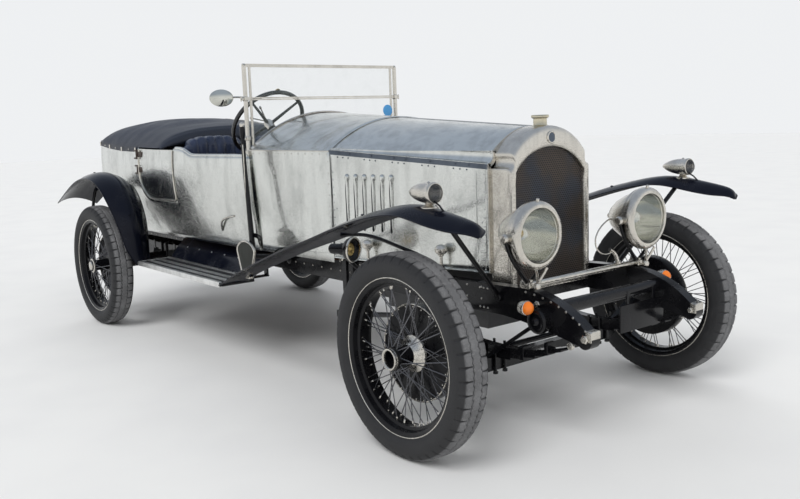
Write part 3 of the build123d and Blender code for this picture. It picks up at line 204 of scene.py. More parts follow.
def tube(path, radius, sides=12, reference=(0.013, 0.007, 1.0)):
    """Round bar along a path: at each point a ring square to the path, closed to a point at both ends."""
    path = np.asarray(path, float)
    radius = np.broadcast_to(np.asarray(radius, float), len(path))
    along = np.gradient(path, axis=0)
    along /= np.linalg.norm(along, axis=1, keepdims=True)
    first = np.cross(along, reference)
    first /= np.linalg.norm(first, axis=1, keepdims=True)
    second = np.cross(along, first)
    angle = np.linspace(0.0, 2 * np.pi, sides, endpoint=False)[:, None]
    ring = np.cos(angle) * first[:, None, :] + np.sin(angle) * second[:, None, :]
    rings = path[:, None, :] + radius[:, None, None] * ring
    ends = [np.repeat(path[i][None, None], sides, 1) for i in (0, -1)]
    rings = np.concatenate([ends[0], rings, ends[1]])
    return rings.reshape(-1, 3), grid_faces(len(rings), sides, True)


def hoop(centre, radius, thickness, direction, count=72, sides=8):
    """Ring of round wire: a circle of the radius about the direction, with a round section."""
    angle = np.linspace(0.0, 2 * np.pi, sides, endpoint=False)
    profile = np.column_stack([thickness * np.cos(angle), radius + thickness * np.sin(angle)])
    return turned(np.vstack([profile, profile[:1]]), centre, direction, count)


def wall(grid, thickness):
    """Sheet of a thickness: the grid, a copy set back along its normals, and strips round the edge."""
    across, down = np.gradient(grid, axis=0), np.gradient(grid, axis=1)
    normal = np.cross(across, down)
    normal /= np.linalg.norm(normal, axis=-1, keepdims=True) + 1e-12
    inner = grid - normal * thickness
    rows, columns = grid.shape[:2]
    layers = np.concatenate([grid.reshape(-1, 3), inner.reshape(-1, 3)])
    index = np.arange(rows * columns).reshape(rows, columns)
    rim = np.concatenate([index[0, :], index[1:, -1], index[-1, -2::-1], index[-2:0:-1, 0]])
    after = np.roll(rim, -1)
    back = rows * columns
    strips = np.stack([rim, after, after + back, rim + back], -1)
    front = grid_faces(rows, columns)
    return layers, np.concatenate([front, front[:, ::-1] + back, strips])


def slab(outline, low, high, bevel=0.0):
    """Plate: a closed outline in x and y, drawn up in z from low to high, its edges eased by a bevel."""
    outline = np.asarray(outline, float)
    middle = outline.mean(axis=0)
    reach = np.linalg.norm(outline - middle, axis=1, keepdims=True)
    eased = middle + (outline - middle) * (1.0 - bevel / reach)
    rings = [(np.broadcast_to(middle, outline.shape), low), (eased, low), (outline, low + bevel)]
    rings += [(outline, high - bevel), (eased, high), (np.broadcast_to(middle, outline.shape), high)]
    points = [np.column_stack([ring, np.full(len(ring), z)]) for ring, z in rings]
    return np.concatenate(points), grid_faces(6, len(outline), True)


def rounded(width, depth, radius, count=6):
    """Rectangle with round corners, as a closed outline about the origin."""
    angle = np.linspace(0.0, np.pi / 2, count)
    corners = []
    for turn, (sx, sy) in enumerate([(1, 1), (-1, 1), (-1, -1), (1, -1)]):
        centre = np.array([sx * (width / 2 - radius), sy * (depth / 2 - radius)])
        at = angle + turn * np.pi / 2
        corners.append(centre + radius * np.column_stack([np.cos(at), np.sin(at)]))
    return np.concatenate(corners)


def brick(low, high, radius=2.0):
    """Block between two corners, all its edges eased."""
    low, high = np.asarray(low, float), np.asarray(high, float)
    size = high - low
    points, faces = slab(rounded(size[0], size[1], min(radius, size[:2].min() / 2.2)), low[2], high[2],
                         min(radius, size[2] / 2.2))
    return points + ((low[0] + high[0]) / 2, (low[1] + high[1]) / 2, 0.0), faces


def place_all(name, shape, finish, stands_for=(), body="car", sharp=35.0):
    """Makes a piece in metres in the car's frame: doubles merged, faces outward, smooth but for its edges."""
    points, faces = shape
    mesh = bpy.data.meshes.new(name)
    mesh.from_pydata(((points + (rear_axle_x, 0.0, 0.0)) / 1000.0).tolist(), [], faces.tolist())
    work = bmesh.new()
    work.from_mesh(mesh)
    bmesh.ops.remove_doubles(work, verts=work.verts, dist=2e-5)
    bmesh.ops.recalc_face_normals(work, faces=work.faces)
    work.to_mesh(mesh)
    work.free()
    mesh.polygons.foreach_set("use_smooth", np.ones(len(mesh.polygons), bool))
    mesh.set_sharp_from_angle(angle=math.radians(sharp))
    mesh.materials.append(finish)
    piece = bpy.data.objects.new(name, mesh)
    bpy.context.collection.objects.link(piece)
    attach(piece, body)
    if stands_for:
        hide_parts(*stands_for)
    return piece


# Finishes

class Tone:
    """One value in a finish's network, so that sums and products of values are written as formulas."""

    def __init__(self, finish, socket):
        self.finish, self.socket = finish, socket

    def maths(self, operation, *others):
        """The result of a step of arithmetic on this value and the others."""
        return self.finish.add("ShaderNodeMath", {"operation": operation}, self, *others)

    def __add__(self, other):
        return self.maths("ADD", other)

    def __sub__(self, other):
        return self.maths("SUBTRACT", other)

    def __rsub__(self, other):
        return self.finish.add("ShaderNodeMath", {"operation": "SUBTRACT"}, other, self)

    def __mul__(self, other):
        return self.maths("MULTIPLY", other)

    def __pow__(self, other):
        return self.maths("POWER", other)

    def __abs__(self):
        return self.maths("ABSOLUTE")

    def sine(self):
        """The sine of this value in radians."""
        return self.maths("SINE")

    def step(self, low, high):
        """Zero below the low value, one above the high one, smooth between them."""
        node = {"interpolation_type": "SMOOTHSTEP"}
        return self.finish.add("ShaderNodeMapRange", node, self, low, high, 0.0, 1.0)


class Finish:
    """A material of one surface finish, with the network behind its shader."""

    def __init__(self, name, colour, roughness, metallic=0.0, **fixed):
        self.material = bpy.data.materials.new(name)
        self.material.use_nodes = True
        self.tree = self.material.node_tree
        self.shader = self.tree.nodes["Principled BSDF"]
        self.shader.inputs["Base Color"].default_value = (*colour, 1.0)
        self.shader.inputs["Roughness"].default_value = roughness
        self.shader.inputs["Metallic"].default_value = metallic
        for socket, value in fixed.items():
            self.shader.inputs[socket.replace("_", " ")].default_value = value
        self.place = self.add("ShaderNodeTexCoord", {}, out="Object")

    def add(self, kind, settings, *values, out=None, **named):
        """Adds a node of a kind, its settings first and then its sockets by order or by name."""
        node = self.tree.nodes.new(kind)
        for key, value in settings.items():
            setattr(node, key, value)
        sockets = list(zip([s for s in node.inputs if s.enabled], values))
        sockets += [(node.inputs[key.replace("_", " ")], value) for key, value in named.items()]
        for socket, value in sockets:
            if isinstance(value, Tone):
                self.tree.links.new(value.socket, socket)
            else:
                socket.default_value = (*value, 1.0) if socket.type == "RGBA" else value
        return Tone(self, node.outputs[out] if out else next(s for s in node.outputs if s.enabled))

    def feed(self, **sockets):
        """Links tones to the shader's own sockets."""
        for key, tone in sockets.items():
            self.tree.links.new(tone.socket, self.shader.inputs[key.replace("_", " ")])

    def mix(self, share, low, high):
        """Colour between two others by a share from 0 to 1."""
        return self.add("ShaderNodeMix", {"data_type": "RGBA"}, share, low, high)

    def stretch(self, scale, turn=(0.0, 0.0, 0.0)):
        """The place vector scaled and turned, for patterns that run one way."""
        return self.add("ShaderNodeMapping", {}, self.place, (0.0, 0.0, 0.0), turn, scale)

    def noise(self, scale, detail=3.0, place=None, rough=0.5, shift=0.0):
        """Cloudy noise from about 0.3 to 0.7 at a scale in features a metre."""
        sizes = {"Scale": scale, "Detail": detail, "Roughness": rough, "Distortion": shift}
        return self.add("ShaderNodeTexNoise", {}, place or self.place, **sizes)

    def axes(self):
        """The three coordinates of the place as separate values."""
        node = self.tree.nodes.new("ShaderNodeSeparateXYZ")
        self.tree.links.new(self.place.socket, node.inputs[0])
        return [Tone(self, s) for s in node.outputs]

    def bump(self, height, distance):
        """Relief from a height, at a depth in metres."""
        self.feed(Normal=self.add("ShaderNodeBump", {}, Strength=1.0, Distance=distance, Height=height))


def worn_paint(name, colour, roughness, dust=0.25, coat=0.0, relief=0.0003, gloss=0.5):
    """Paint with cloudy gloss, faint dust in clouds and specks, and fine ripples."""
    finish = Finish(name, colour, roughness, 0.0, Coat_Weight=coat, Coat_Roughness=0.06,
                    Specular_IOR_Level=gloss)
    cloud = finish.noise(9.0, 5.0).step(0.42, 0.7)
    speck = finish.noise(180.0, 2.0).step(0.55, 0.75)
    grime = [min(1.0, c + 0.06) * 0.85 for c in colour]
    finish.feed(Base_Color=finish.mix(cloud * dust + speck * dust * 0.4, colour, grime))
    finish.feed(Roughness=cloud * 0.18 + speck * 0.08 + roughness)
    finish.bump(finish.noise(26.0, 3.0), relief)
    return finish.material


def polished_metal(name, colour, roughness, swirl=0.1, haze=0.25, relief=0.0006):
    """Hand-polished sheet: soft waves, fine criss-cross scratches and cloudy haze."""
    finish = Finish(name, colour, roughness, 1.0)
    haze_cloud = finish.noise(5.0, 6.0, rough=0.62).step(0.45, 0.75)
    along = finish.noise(60.0, 4.0, finish.stretch((1.0, 9.0, 9.0), (0.2, 0.1, 0.4)))
    across = finish.noise(60.0, 4.0, finish.stretch((9.0, 1.0, 4.0), (0.5, 0.3, 1.2)))
    scratch = (along * across * 4.0).step(0.9, 1.5)
    streak = finish.noise(6.0, 4.0, finish.stretch((2.4, 2.4, 0.5)), 0.6).step(0.42, 0.66)
    tint = [c * 0.66 for c in colour]
    finish.feed(Base_Color=finish.mix(haze_cloud * 0.45 + scratch * 0.15 + streak * 0.4, colour, tint))
    finish.feed(Roughness=haze_cloud * haze + scratch * swirl + roughness)
    finish.bump(finish.noise(3.2, 2.0) + scratch * 0.02, relief * 20)
    return finish.material


def silvered_bowl(name, colour):
    """Silvered inside of a lamp: even and bright, dulled in soft clouds."""
    finish = Finish(name, colour, 0.1, 1.0)
    cloud = finish.noise(14.0, 3.0).step(0.4, 0.75)
    finish.feed(Base_Color=finish.mix(cloud * 0.4, colour, [c * 0.7 for c in colour]))
    finish.feed(Roughness=cloud * 0.08 + 0.08)
    return finish.material


def hide_leather(name, colour):
    """Hide: soft sheen, a grain of small cells, paler in soft clouds, with fine creases."""
    finish = Finish(name, colour, 0.3, Coat_Weight=0.45, Coat_Roughness=0.14)
    cloud = finish.noise(7.0, 4.0).step(0.4, 0.7)
    cell = finish.add("ShaderNodeTexVoronoi", {"feature": "DISTANCE_TO_EDGE"}, finish.place, Scale=420.0)
    crease = finish.noise(38.0, 5.0, finish.stretch((1.0, 3.0, 1.0)), 0.6)
    worn = [min(1.0, c * 2.2 + 0.012) for c in colour]
    finish.feed(Base_Color=finish.mix(cloud * 0.5 + crease.step(0.5, 0.8) * 0.3, colour, worn))
    finish.feed(Roughness=cloud * 0.16 + 0.26)
    finish.bump(cell.step(0.0, 0.12) * 0.5 + crease, 0.0016)
    return finish.material


def coated_cloth(name, colour):
    """Leathercloth: a fine two-way weave under a dull coat, with long soft creases and dusty folds."""
    finish = Finish(name, colour, 0.5)
    x, y, _ = finish.axes()
    weave = (x * 5200.0).sine() * (y * 5200.0).sine()
    crease = finish.noise(11.0, 5.0, finish.stretch((1.0, 0.35, 1.0), (0.0, 0.0, 0.5)), 0.62)
    cloud = finish.noise(3.0, 4.0).step(0.42, 0.72)
    faded = [min(1.0, c * 1.9 + 0.010) for c in colour]
    finish.feed(Base_Color=finish.mix(cloud * 0.55 + crease.step(0.52, 0.75) * 0.25, colour, faded))
    finish.feed(Roughness=cloud * 0.14 + weave * 0.03 + 0.42)
    finish.bump(crease + weave * 0.04, 0.004)
    return finish.material


def tread_rubber(name, colour):
    """Tyre rubber: worn grey on the tread, blacker on the walls, with dry dust and fine scuffs."""
    finish = Finish(name, colour, 0.75)
    x, y, z = finish.axes()
    cloud = finish.noise(14.0, 5.0).step(0.42, 0.7)
    scuff = finish.noise(150.0, 3.0).step(0.5, 0.72)
    # Distances in metres from the wheel's middle plane, and from its axle in side view
    off_middle = abs(abs(y) - half_track / 1000)
    ahead = abs(x - rear_axle_x / 1000).maths("MINIMUM", abs(x - (rear_axle_x + wheelbase) / 1000))
    up = z - tyre_radius / 1000
    across = off_middle.step(0.060, 0.046)
    crest = ((ahead * ahead + up * up) ** 0.5 + off_middle**2 * 1.6).step(0.3885, 0.3925)
    worn = (cloud * 0.25 + scuff * 0.25 + 0.55) * across * crest
    grey = [c * 4.0 + 0.13 for c in colour]
    finish.feed(Base_Color=finish.mix(worn + (cloud * 0.35 + scuff * 0.3) * 0.12, colour, grey))
    finish.feed(Roughness=scuff * 0.12 + cloud * 0.08 + 0.66)
    finish.bump(finish.noise(300.0, 2.0) + scuff * 0.6, 0.0006)
    return finish.material


def cell_core(name):
    """Radiator matrix: rows of small cells, every other row set half a cell over, with thin bright edges, a
    painted sheen on the walls and painted shade in the cells.
    """
    finish = Finish(name, (0.012, 0.012, 0.014), 0.45)
    _, y, z = finish.axes()
    row = z * 112.0
    step = row.maths("FLOOR")
    shift = step.maths("MODULO", 2.0) * 0.5
    column = y * 80.0 + shift
    up = abs(row - step - 0.5)
    over = abs(column - column.maths("FLOOR") - 0.5)
    wall_mask = up.maths("MAXIMUM", over).step(0.26, 0.42)
    # Painted sheen: the walls' tone drifts in clouds between brown and blue
    sheen = finish.noise(6.0, 3.0).step(0.4, 0.65)
    tint = finish.mix(sheen, (0.105, 0.082, 0.066), (0.066, 0.074, 0.095))
    # The cells' hollows are painted near black, as painted shade down the deep cells
    finish.feed(Base_Color=finish.mix(wall_mask, (0.003, 0.003, 0.004), tint))
    finish.feed(Metallic=wall_mask * 0.6)
    finish.feed(Roughness=wall_mask * -0.2 + 0.55)
    finish.bump(wall_mask, 0.003)
    return finish.material


def board_matting(name, colour):
    """Running board mat: fine ribs along the board, with dust in clouds and between the ribs."""
    finish = Finish(name, colour, 0.6)
    rib = (finish.axes()[1] * 900.0).sine().step(-0.3, 0.5)
    dust = finish.noise(9.0, 5.0).step(0.42, 0.72)
    pale = [c * 3.0 + 0.012 for c in colour]
    finish.feed(Base_Color=finish.mix(dust * 0.35 + (1 - rib) * 0.25, colour, pale))
    finish.feed(Roughness=dust * 0.2 + 0.5)
    finish.bump(rib + dust * 0.2, 0.0012)
    return finish.material


def varnished_wood(name):
    """Varnished floor and dash wood: long grain streaks under a thin coat."""
    finish = Finish(name, (0.10, 0.045, 0.02), 0.35, Coat_Weight=0.4, Coat_Roughness=0.1)
    grain = finish.noise(28.0, 6.0, finish.stretch((1.0, 8.0, 8.0)), 0.6, 0.6)
    finish.feed(Base_Color=finish.mix(grain.step(0.3, 0.7), (0.05, 0.022, 0.010), (0.16, 0.075, 0.032)))
    finish.feed(Roughness=grain * 0.2 + 0.28)
    finish.bump(grain, 0.0008)
    return finish.material


def clear_glass():
    """Clear pane: mostly see-through, with a plain gloss and a faint film of dust."""
    finish = Finish("clear_glass", (0.55, 0.62, 0.60), 0.02, 0.0, Alpha=0.08, IOR=1.5)
    film = finish.noise(12.0, 4.0).step(0.45, 0.8)
    finish.feed(Alpha=film * 0.03 + 0.05)
    finish.feed(Roughness=film * 0.10 + 0.02)
    return finish.material


def tinted_glass(name, colour, alpha, pitch):
    """Lamp glass: see-through by a fixed share, moulded with fine upright flutes and a little haze."""
    finish = Finish(name, colour, 0.04, 0.0, Alpha=alpha, IOR=1.5)
    flute = (finish.axes()[1] * (2 * math.pi / pitch)).sine()
    haze = finish.noise(9.0, 3.0).step(0.45, 0.8)
    finish.feed(Roughness=haze * 0.05 + 0.02)
    finish.feed(Alpha=haze * 0.04 + alpha)
    finish.bump(flute, 0.00006)
    return finish.material


# The finish of each slot of the solids, and further finishes with the slot that each belongs to
black = (0.004, 0.004, 0.005)
wing_enamel = worn_paint("wing_enamel", (0.004, 0.005, 0.010), 0.12, 0.04, coat=0.03, gloss=0.13)
aluminium = polished_metal("polished_panels", (0.72, 0.73, 0.70), 0.07, haze=0.15, relief=0.0004)
nickel = polished_metal("nickel_plate", (0.70, 0.665, 0.60), 0.09, haze=0.14)
rubber = tread_rubber("tyre_rubber", (0.016, 0.016, 0.017))
wheel_black = worn_paint("wheel_black", black, 0.24, 0.06, gloss=0.22)
chassis = worn_paint("chassis_black", black, 0.18, 0.08, coat=0.08, gloss=0.25)
floor_wood = varnished_wood("varnished_wood")
hide = hide_leather("seat_hide", (0.010, 0.018, 0.046))
cover_cloth = coated_cloth("cover_cloth", (0.010, 0.013, 0.022))
board_mat = board_matting("board_mat", (0.006, 0.006, 0.007))
rim_black = worn_paint("wheel_rim_black", (0.006, 0.006, 0.006), 0.22, 0.1, coat=0.4)
finishes = {
    "black_enamel": wing_enamel, "polished_aluminium": aluminium, "nickel": nickel, "tyre_rubber": rubber,
    "black_wheel": wheel_black, "chassis_black": chassis, "dark_wood": floor_wood, "hood_cloth": cover_cloth,
    "blue_black_hide": hide, "board_rubber": board_mat, "black_rim": rim_black, "clear_glass": clear_glass(),
    "engine_metal": worn_paint("engine_grey", (0.06, 0.06, 0.062), 0.5, 0.5),
    "exhaust_metal": polished_metal("exhaust_steel", (0.30, 0.25, 0.21), 0.42),
    "core_black": cell_core("radiator_cells_painted_shade_and_sheen"),
}
brass = polished_metal("brass", (0.66, 0.48, 0.20), 0.16, haze=0.2)
brass_nickel = polished_metal("worn_nickel", (0.66, 0.60, 0.45), 0.12, haze=0.2)
silver_mirror = silvered_bowl("silvered_bowl", (0.66, 0.66, 0.60))
rivet_steel = polished_metal("rivet_steel", (0.50, 0.48, 0.44), 0.25, haze=0.3)
hinge_steel = worn_paint("hinge_steel", (0.045, 0.030, 0.022), 0.45, 0.5)
badge_enamel = worn_paint("badge_enamel", (0.030, 0.050, 0.080), 0.2, 0.1, coat=0.5)
wire_steel = polished_metal("wire_steel", (0.17, 0.17, 0.18), 0.24)
olive_plate = worn_paint("olive_plate", (0.006, 0.008, 0.004), 0.3, 0.05, gloss=0.2)
strip_metal = polished_metal("strip_metal", (0.86, 0.86, 0.84), 0.36, haze=0.2)
dark_steel = polished_metal("dark_steel", (0.13, 0.15, 0.18), 0.30)
# The side lamps' glass is tinted near black: painted shade of the lamp's dim inside
shaded_side_glass = tinted_glass("side_lamp_glass_painted_shade", (0.03, 0.034, 0.04), 0.42, 0.012)
blue_enamel = worn_paint("disc_enamel", (0.06, 0.30, 0.62), 0.25, 0.1, coat=0.2)
lamp_lens = tinted_glass("lamp_glass", (0.62, 0.64, 0.58), 0.06, 0.016)
orange_glass = tinted_glass("orange_lamp", (0.90, 0.22, 0.02), 0.86, 0.006)
slot_names = {finish.name: slot for slot, finish in finishes.items()}
for slot, further in {
        "nickel": (brass, brass_nickel, silver_mirror, rivet_steel, badge_enamel, wire_steel),
        "chassis_black": (hinge_steel,), "board_rubber": (olive_plate,),
        "polished_aluminium": (strip_metal, dark_steel),
        "clear_glass": (shaded_side_glass, blue_enamel, lamp_lens, orange_glass)}.items():
    slot_names.update({finish.name: slot for finish in further})

for part in frame["record"]["subparts"]:
    for place in nodes[part["node"]].material_slots:
        place.material = finishes[part["material_slot"]]


# Wheels and tyres

# Columns: across the tread from the middle, radius
tyre_section = [(47, 299), (56, 307), (63.5, 318), (69, 332), (70, 346), (67.5, 362), (61, 376), (52, 386),
                (38, 392.5), (0, 395)]


def ridge(distance, half_width):
    """One at distance zero, zero beyond the half width, with sloping sides."""
    return np.clip(1.6 * (1.0 - np.abs(distance) / half_width), 0.0, 1.0)


def tyre():
    """Tyre swept round the wheel: the section's radius less the grooves' depth, at each angle and width.

    Grooves: two zigzag lines round the tread, bars out to each shoulder, staggered from side to side,
    and short slits in the middle blocks. The side wall has fine rings and short radial ribs."""
    half = np.asarray(tyre_section, float)[::-1]
    length = run_along(half)
    tread = np.linspace(0, length[3] + 4, 23)
    side = np.linspace(length[3] + 4, length[-1], 16)[1:]
    at = np.concatenate([tread, side])
    halves = fair(np.column_stack([length, half]), at)
    section = np.concatenate([halves[:0:-1] * (-1, 1), halves])
    width, radius = section[:, 0][None, :], section[:, 1][None, :]
    turn = np.linspace(0, 2 * np.pi, 720, endpoint=False)[:, None]
    # Blocks round the tread, its length round, the zigzag lines' place, where the bars and slits end
    blocks, around, line_place, bar_start, bar_end, slit_end = 48, 2488.0, 19, 20, 66, 12
    phase = (turn / (2 * np.pi / blocks)) % 1.0
    zig = 3.2 * np.abs(((turn / (2 * np.pi / blocks) * 2) % 1.0) * 4 - 2) - 3.2
    lines = np.maximum(ridge(width - line_place - zig, 4.2), ridge(width + line_place - zig, 4.2))
    left, right = np.abs(phase - 0.25) * around / blocks, np.abs(phase - 0.75) * around / blocks
    bars = np.where(width > 0, ridge(left, 5.5), ridge(right, 5.5))
    bars = bars * (np.abs(width) > bar_start) * (np.abs(width) < bar_end)
    slits = ridge((phase - 0.5) * around / blocks, 2.6) * (np.abs(width) < slit_end)
    outer = ridge(np.abs(width) - 46 + zig * 0.5, 2.4) * (radius > 385)
    groove = np.maximum.reduce([lines * 6.0, bars * 6.5, slits * 3.0, outer * 2.0]) * (radius > 368)
    rings = 0.8 * ridge(radius - 356, 2.2) + 0.9 * ridge(radius - 314, 2.5) + 0.7 * ridge(radius - 306, 2.0)
    ribs = 0.7 * (np.sin(turn * 180) > 0.2) * ((radius > 361) & (radius < 372))
    radius = np.minimum(radius, tyre_radius) - groove + 0 * turn
    bulge = np.sign(width) * (rings + ribs) * (radius < 376)
    grid = np.stack([radius * np.sin(turn), width + bulge, radius * np.cos(turn)], -1)
    grid = np.concatenate([grid, grid[:1]])
    inner = grid[:, [-1, 0]] * (0.99, 0.86, 0.99)
    grid = np.concatenate([grid, inner, grid[:, :1]], axis=1)
    return sheet_of(grid)


# Columns: across from the wheel's middle, radius
rim_section = [(-54, 303), (-50, 305), (-46, 302), (-42, 289), (-24, 285), (-19, 276), (19, 276), (24, 285),
               (42, 289), (46, 302), (50, 305), (54, 303), (53, 296), (46, 285), (27, 280), (22, 269),
               (-22, 269), (-27, 280), (-46, 285), (-53, 296), (-54, 303)]


def spokes():
    """Crossed wires in three rows between the hub's flanges and the rim, and a nipple at each rim end.

    A wire leaves its flange at one angle and meets the rim at that angle plus or minus its lean."""
    rim_radius = 266
    # Columns: wires, flange radius, flange across, rim across, lean in degrees
    rows = [(20, 40, 66, 14, 24), (20, 50, -34, -12, 44), (20, 50, -40, 6, 44)]
    wires, nipples = [], []
    for row, (count, low_r, low_y, high_y, lean) in enumerate(rows):
        k = np.arange(count)
        base = 2 * np.pi * (k // 2) / (count / 2) + row * 0.105
        tip = base + np.radians(lean) * np.where(k % 2, 1, -1)
        foot = np.stack([low_r * np.sin(base), np.full(count, low_y), low_r * np.cos(base)], -1)
        head = np.stack([rim_radius * np.sin(tip), np.full(count, high_y), rim_radius * np.cos(tip)], -1)
        reach = np.linalg.norm(head - foot, axis=1)
        wire = lathe(bar_profile(2.1, reach.mean() + 3), 6)
        wires.append(stud(wire, foot, head - foot))
        nipple = lathe([(-9, 0), (-9, 2.4), (-7, 3.2), (-2, 4.0), (5, 4.0), (5, 0)], 8)
        nipples.append(stud(nipple, head, head - foot))
    return gather(*wires), gather(*nipples)


def wheel_place(shape, ahead, side):
    """A wheel's shape, made about its own middle with its outer face towards plus y, at its hub."""
    points, faces = shape
    faces = faces if side > 0 else faces[:, ::-1]
    return points * (1.0, side, 1.0) + (ahead, side * half_track, tyre_radius), faces


def make_wheels():
    """Four wheels: tyre, rim with bright edges, wires, nipples, hub, drum, and a cap or an open ring."""
    wires, nipples = spokes()
    tread = tyre()
    axle, hub = leftward, np.zeros(3)
    flat = [(-52, 0), (-52, 34), (-44, 36), (-42, 56), (-32, 56), (-30, 38), (56, 34), (60, 46), (70, 46),
            (72, 38), (78, 38)]
    drum = [(-102, 0), (-102, 170), (-100, 188), (-94, 190), (-46, 190), (-41, 184), (-40, 150), (-46, 60),
            (-46, 0)]
    ring = [(70, 33), (82, 32), (86, 34), (88, 37), (87, 41), (82, 43), (72, 42), (70, 40), (70, 33)]
    cap = [(60, 0), (60, 44), (64, 47), (70, 47), (74, 40), (76, 30), (83, 27), (86, 20), (88, 8), (88, 0)]
    boss = [(-41, 40), (-41, 72), (-37, 75), (-31, 72), (-25, 60), (-18, 52), (-10, 47), (-4, 40), (-41, 40)]
    rivet = lathe([(-1, 0), (-1, 3.6), (1.2, 3.6), (2.4, 2.4), (2.8, 0)], 8)
    rivets, rivet_circle = 24, 181
    angle = np.linspace(0, 2 * np.pi, rivets, endpoint=False)
    spots = np.stack([rivet_circle * np.sin(angle), np.full(rivets, -41.0), rivet_circle * np.cos(angle)], -1)
    edges = [hoop((0, across, 0), 303.5, 2.7, axle, 96) for across in (53.0, -53.0)]
    bright = [nipples, *edges, stud(rivet, spots, axle), hoop((0, -43, 0), 189, 3.0, axle)]
    # Columns: end, ahead, the barrel's outer end, bright turned pieces at the hub
    ends = [("front", wheelbase, [(78, 31), (52, 30), (50, 0)], [ring, boss]),
            ("rear", 0.0, [(80, 0)], [cap])]
    for end, ahead, barrel_end, trims in ends:
        black_parts = gather(turned(rim_section, hub, axle, 96), turned(flat + barrel_end, hub, axle, 40),
                             turned(drum, hub, axle, 72))
        bright_parts = gather(*bright, *[turned(trim, hub, axle, 40) for trim in trims])
        for name, side in (("left", 1), ("right", -1)):
            for piece, shape, finish, stands_for, sharp in (
                    ("tread", tread, rubber, [f"tyre_{end}_{name}"], 50.0),
                    ("wire_wheel", black_parts, wheel_black, [f"wheel_{end}_{name}"], 35.0),
                    ("wheel_bright", bright_parts, nickel, (), 35.0),
                    ("spokes", wires, wire_steel, (), 35.0)):
                place_all(f"{piece}_{end}_{name}", wheel_place(shape, ahead, side), finish, stands_for,
                          body=f"wheel_{end}_{name}", sharp=sharp)


# Wings

# Columns: along, height of the outer edge, slope, outer y, inner y, crown, inner edge drop
front_wing_rows = [
    (1587, 443, 22, 735, 560, 4, 0), (1700, 488, 22, 742, 585, 4, 0), (1821, 531, 19, 760, 610, 6, 4),
    (2051, 608, 18, 785, 635, 8, 8), (2381, 711, 17, 820, 655, 12, 10), (2672, 793, 16, 845, 665, 18, 10),
    (2960, 877, 14, 862, 672, 24, 8), (3160, 922, 9, 868, 680, 28, 4), (3320, 934, 0, 868, 690, 36, 2),
    (3440, 914, -8, 866, 700, 43, 0), (3530, 899, -6, 855, 712, 43, 0), (3595, 893, -3, 843, 724, 36, 0),
    (3624, 891, 0, 832, 736, 27, 0), (3638, 886, 0, 816, 752, 19, 0), (3645, 880, 0, 802, 766, 11, 0),
    (3648, 875, 0, 789, 779, 4, 0)]
rear_wing_rows = [
    (-600, 783, 40, 868, 600, 36, 30), (-438, 852, 26, 868, 600, 38, 32), (-200, 940, 14, 868, 600, 36, 36),
    (30, 974, 0, 868, 600, 34, 44), (205, 945, -22, 868, 600, 36, 60), (333, 867, -42, 865, 600, 40, 90),
    (406, 770, -60, 850, 602, 42, 100), (437, 690, -76, 832, 606, 42, 96), (444, 610, -82, 812, 612, 40, 80),
    (450, 520, -80, 785, 625, 24, 56), (459, 435, -80, 735, 648, 5, 8)]


def wing_grid(rows, along, across):
    """Points of a wing: at each station a low arch, square to the path, from the outer to the inner edge.

    The arch's height is the crown's parabola less the inner edge's drop, and is laid off along the
    direction that the path's slope turns up."""
    table = np.asarray(rows, float)
    length = run_along(table[:, :2])
    row = fair(np.column_stack([length, table]), np.linspace(0, length[-1], along))
    ahead, z, slope, outer, inner, crown, drop = [column[:, None] for column in row.T]
    s = np.linspace(0, 1, across)[None, :]
    rise = 4 * (crown + drop / 2) * s * (1 - s) - drop * s
    angle = np.radians(slope)
    return np.stack([ahead - rise * np.sin(angle), outer + (inner - outer) * s, z + rise * np.cos(angle)], -1)


def slope_sign(grid):
    """Whether the grid's normals point up or down at its middle: plus or minus one."""
    normal = np.cross(np.gradient(grid, axis=0), np.gradient(grid, axis=1))
    return np.sign(normal[len(grid) // 2, grid.shape[1] // 2, 2])


def pressed_rib(grid):
    """The wing's grid raised along its normals in a rib that runs its length and fades at both ends."""
    rows, columns = grid.shape[:2]
    reach, s = np.linspace(0, 1, rows)[:, None], np.linspace(0, 1, columns)[None, :]
    rib = 5.0 * np.exp(-((s - 0.62) / 0.045) ** 2) * np.clip(reach * 4, 0, 1) * np.clip((1 - reach) * 6, 0, 1)
    normal = np.cross(np.gradient(grid, axis=0), np.gradient(grid, axis=1))
    normal /= np.linalg.norm(normal, axis=-1, keepdims=True)
    return grid - normal * rib[..., None] * slope_sign(grid)


def make_wings():
    """Both pairs of wings: thin crowned sheets with a rolled wire along each edge, and bolts."""
    bolt = lathe([(-2, 0), (-2, 8), (1, 8), (3, 5), (3.6, 0)], 10)
    # Columns: name, the wing's table, the rows of its grid with bolts
    for name, rows, bolted in (("front", front_wing_rows, [30, 62, 104]),
                               ("rear", rear_wing_rows, [20, 60, 118])):
        grid = wing_grid(rows, 150, 25)
        if name == "rear":
            grid = pressed_rib(grid)
        sheet = wall(grid if slope_sign(grid) > 0 else grid[:, ::-1], 2.2)
        edges = [tube(grid[:, 0], 3.4, 8)] + [tube(line, 2.8, 8) for line in (grid[:, -1], grid[0], grid[-1])]
        place_all(f"{name}_wing_sheets", both(gather(sheet, gather(*edges))), wing_enamel, [f"{name}_wings"],
                  sharp=30)
        spots = np.concatenate([grid[bolted, 8], grid[bolted, 16]]) + (0, 0, 1.6)
        bolts = stud(bolt, spots, upward)
        place_all(f"{name}_wing_bolts", both(bolts), wing_enamel)


# Body

# Columns: ahead, half width at the bottom, belly and top
tub_rows = [(-640, 478, 530, 522), (-260, 492, 560, 552), (320, 505, 578, 566), (920, 505, 572, 562),
            (1594, 474, 522, 514)]
# Columns: ahead, height of the tub's top edge
coaming_rows = [(-640, 1209), (-340, 1183), (-80, 1168), (500, 1158), (800, 1156), (850, 1154), (900, 1147),
                (945, 1132), (985, 1119), (1030, 1115), (1150, 1115), (1594, 1115)]
# Columns: rear edge, front edge, low edge, rear and front corner radius
rear_door_cut = (222, 770, 830, 170, 45)
front_door_cut = (940, 1480, 760, 60, 60)
tail_ahead = -640.0
tail_corner = 84.0


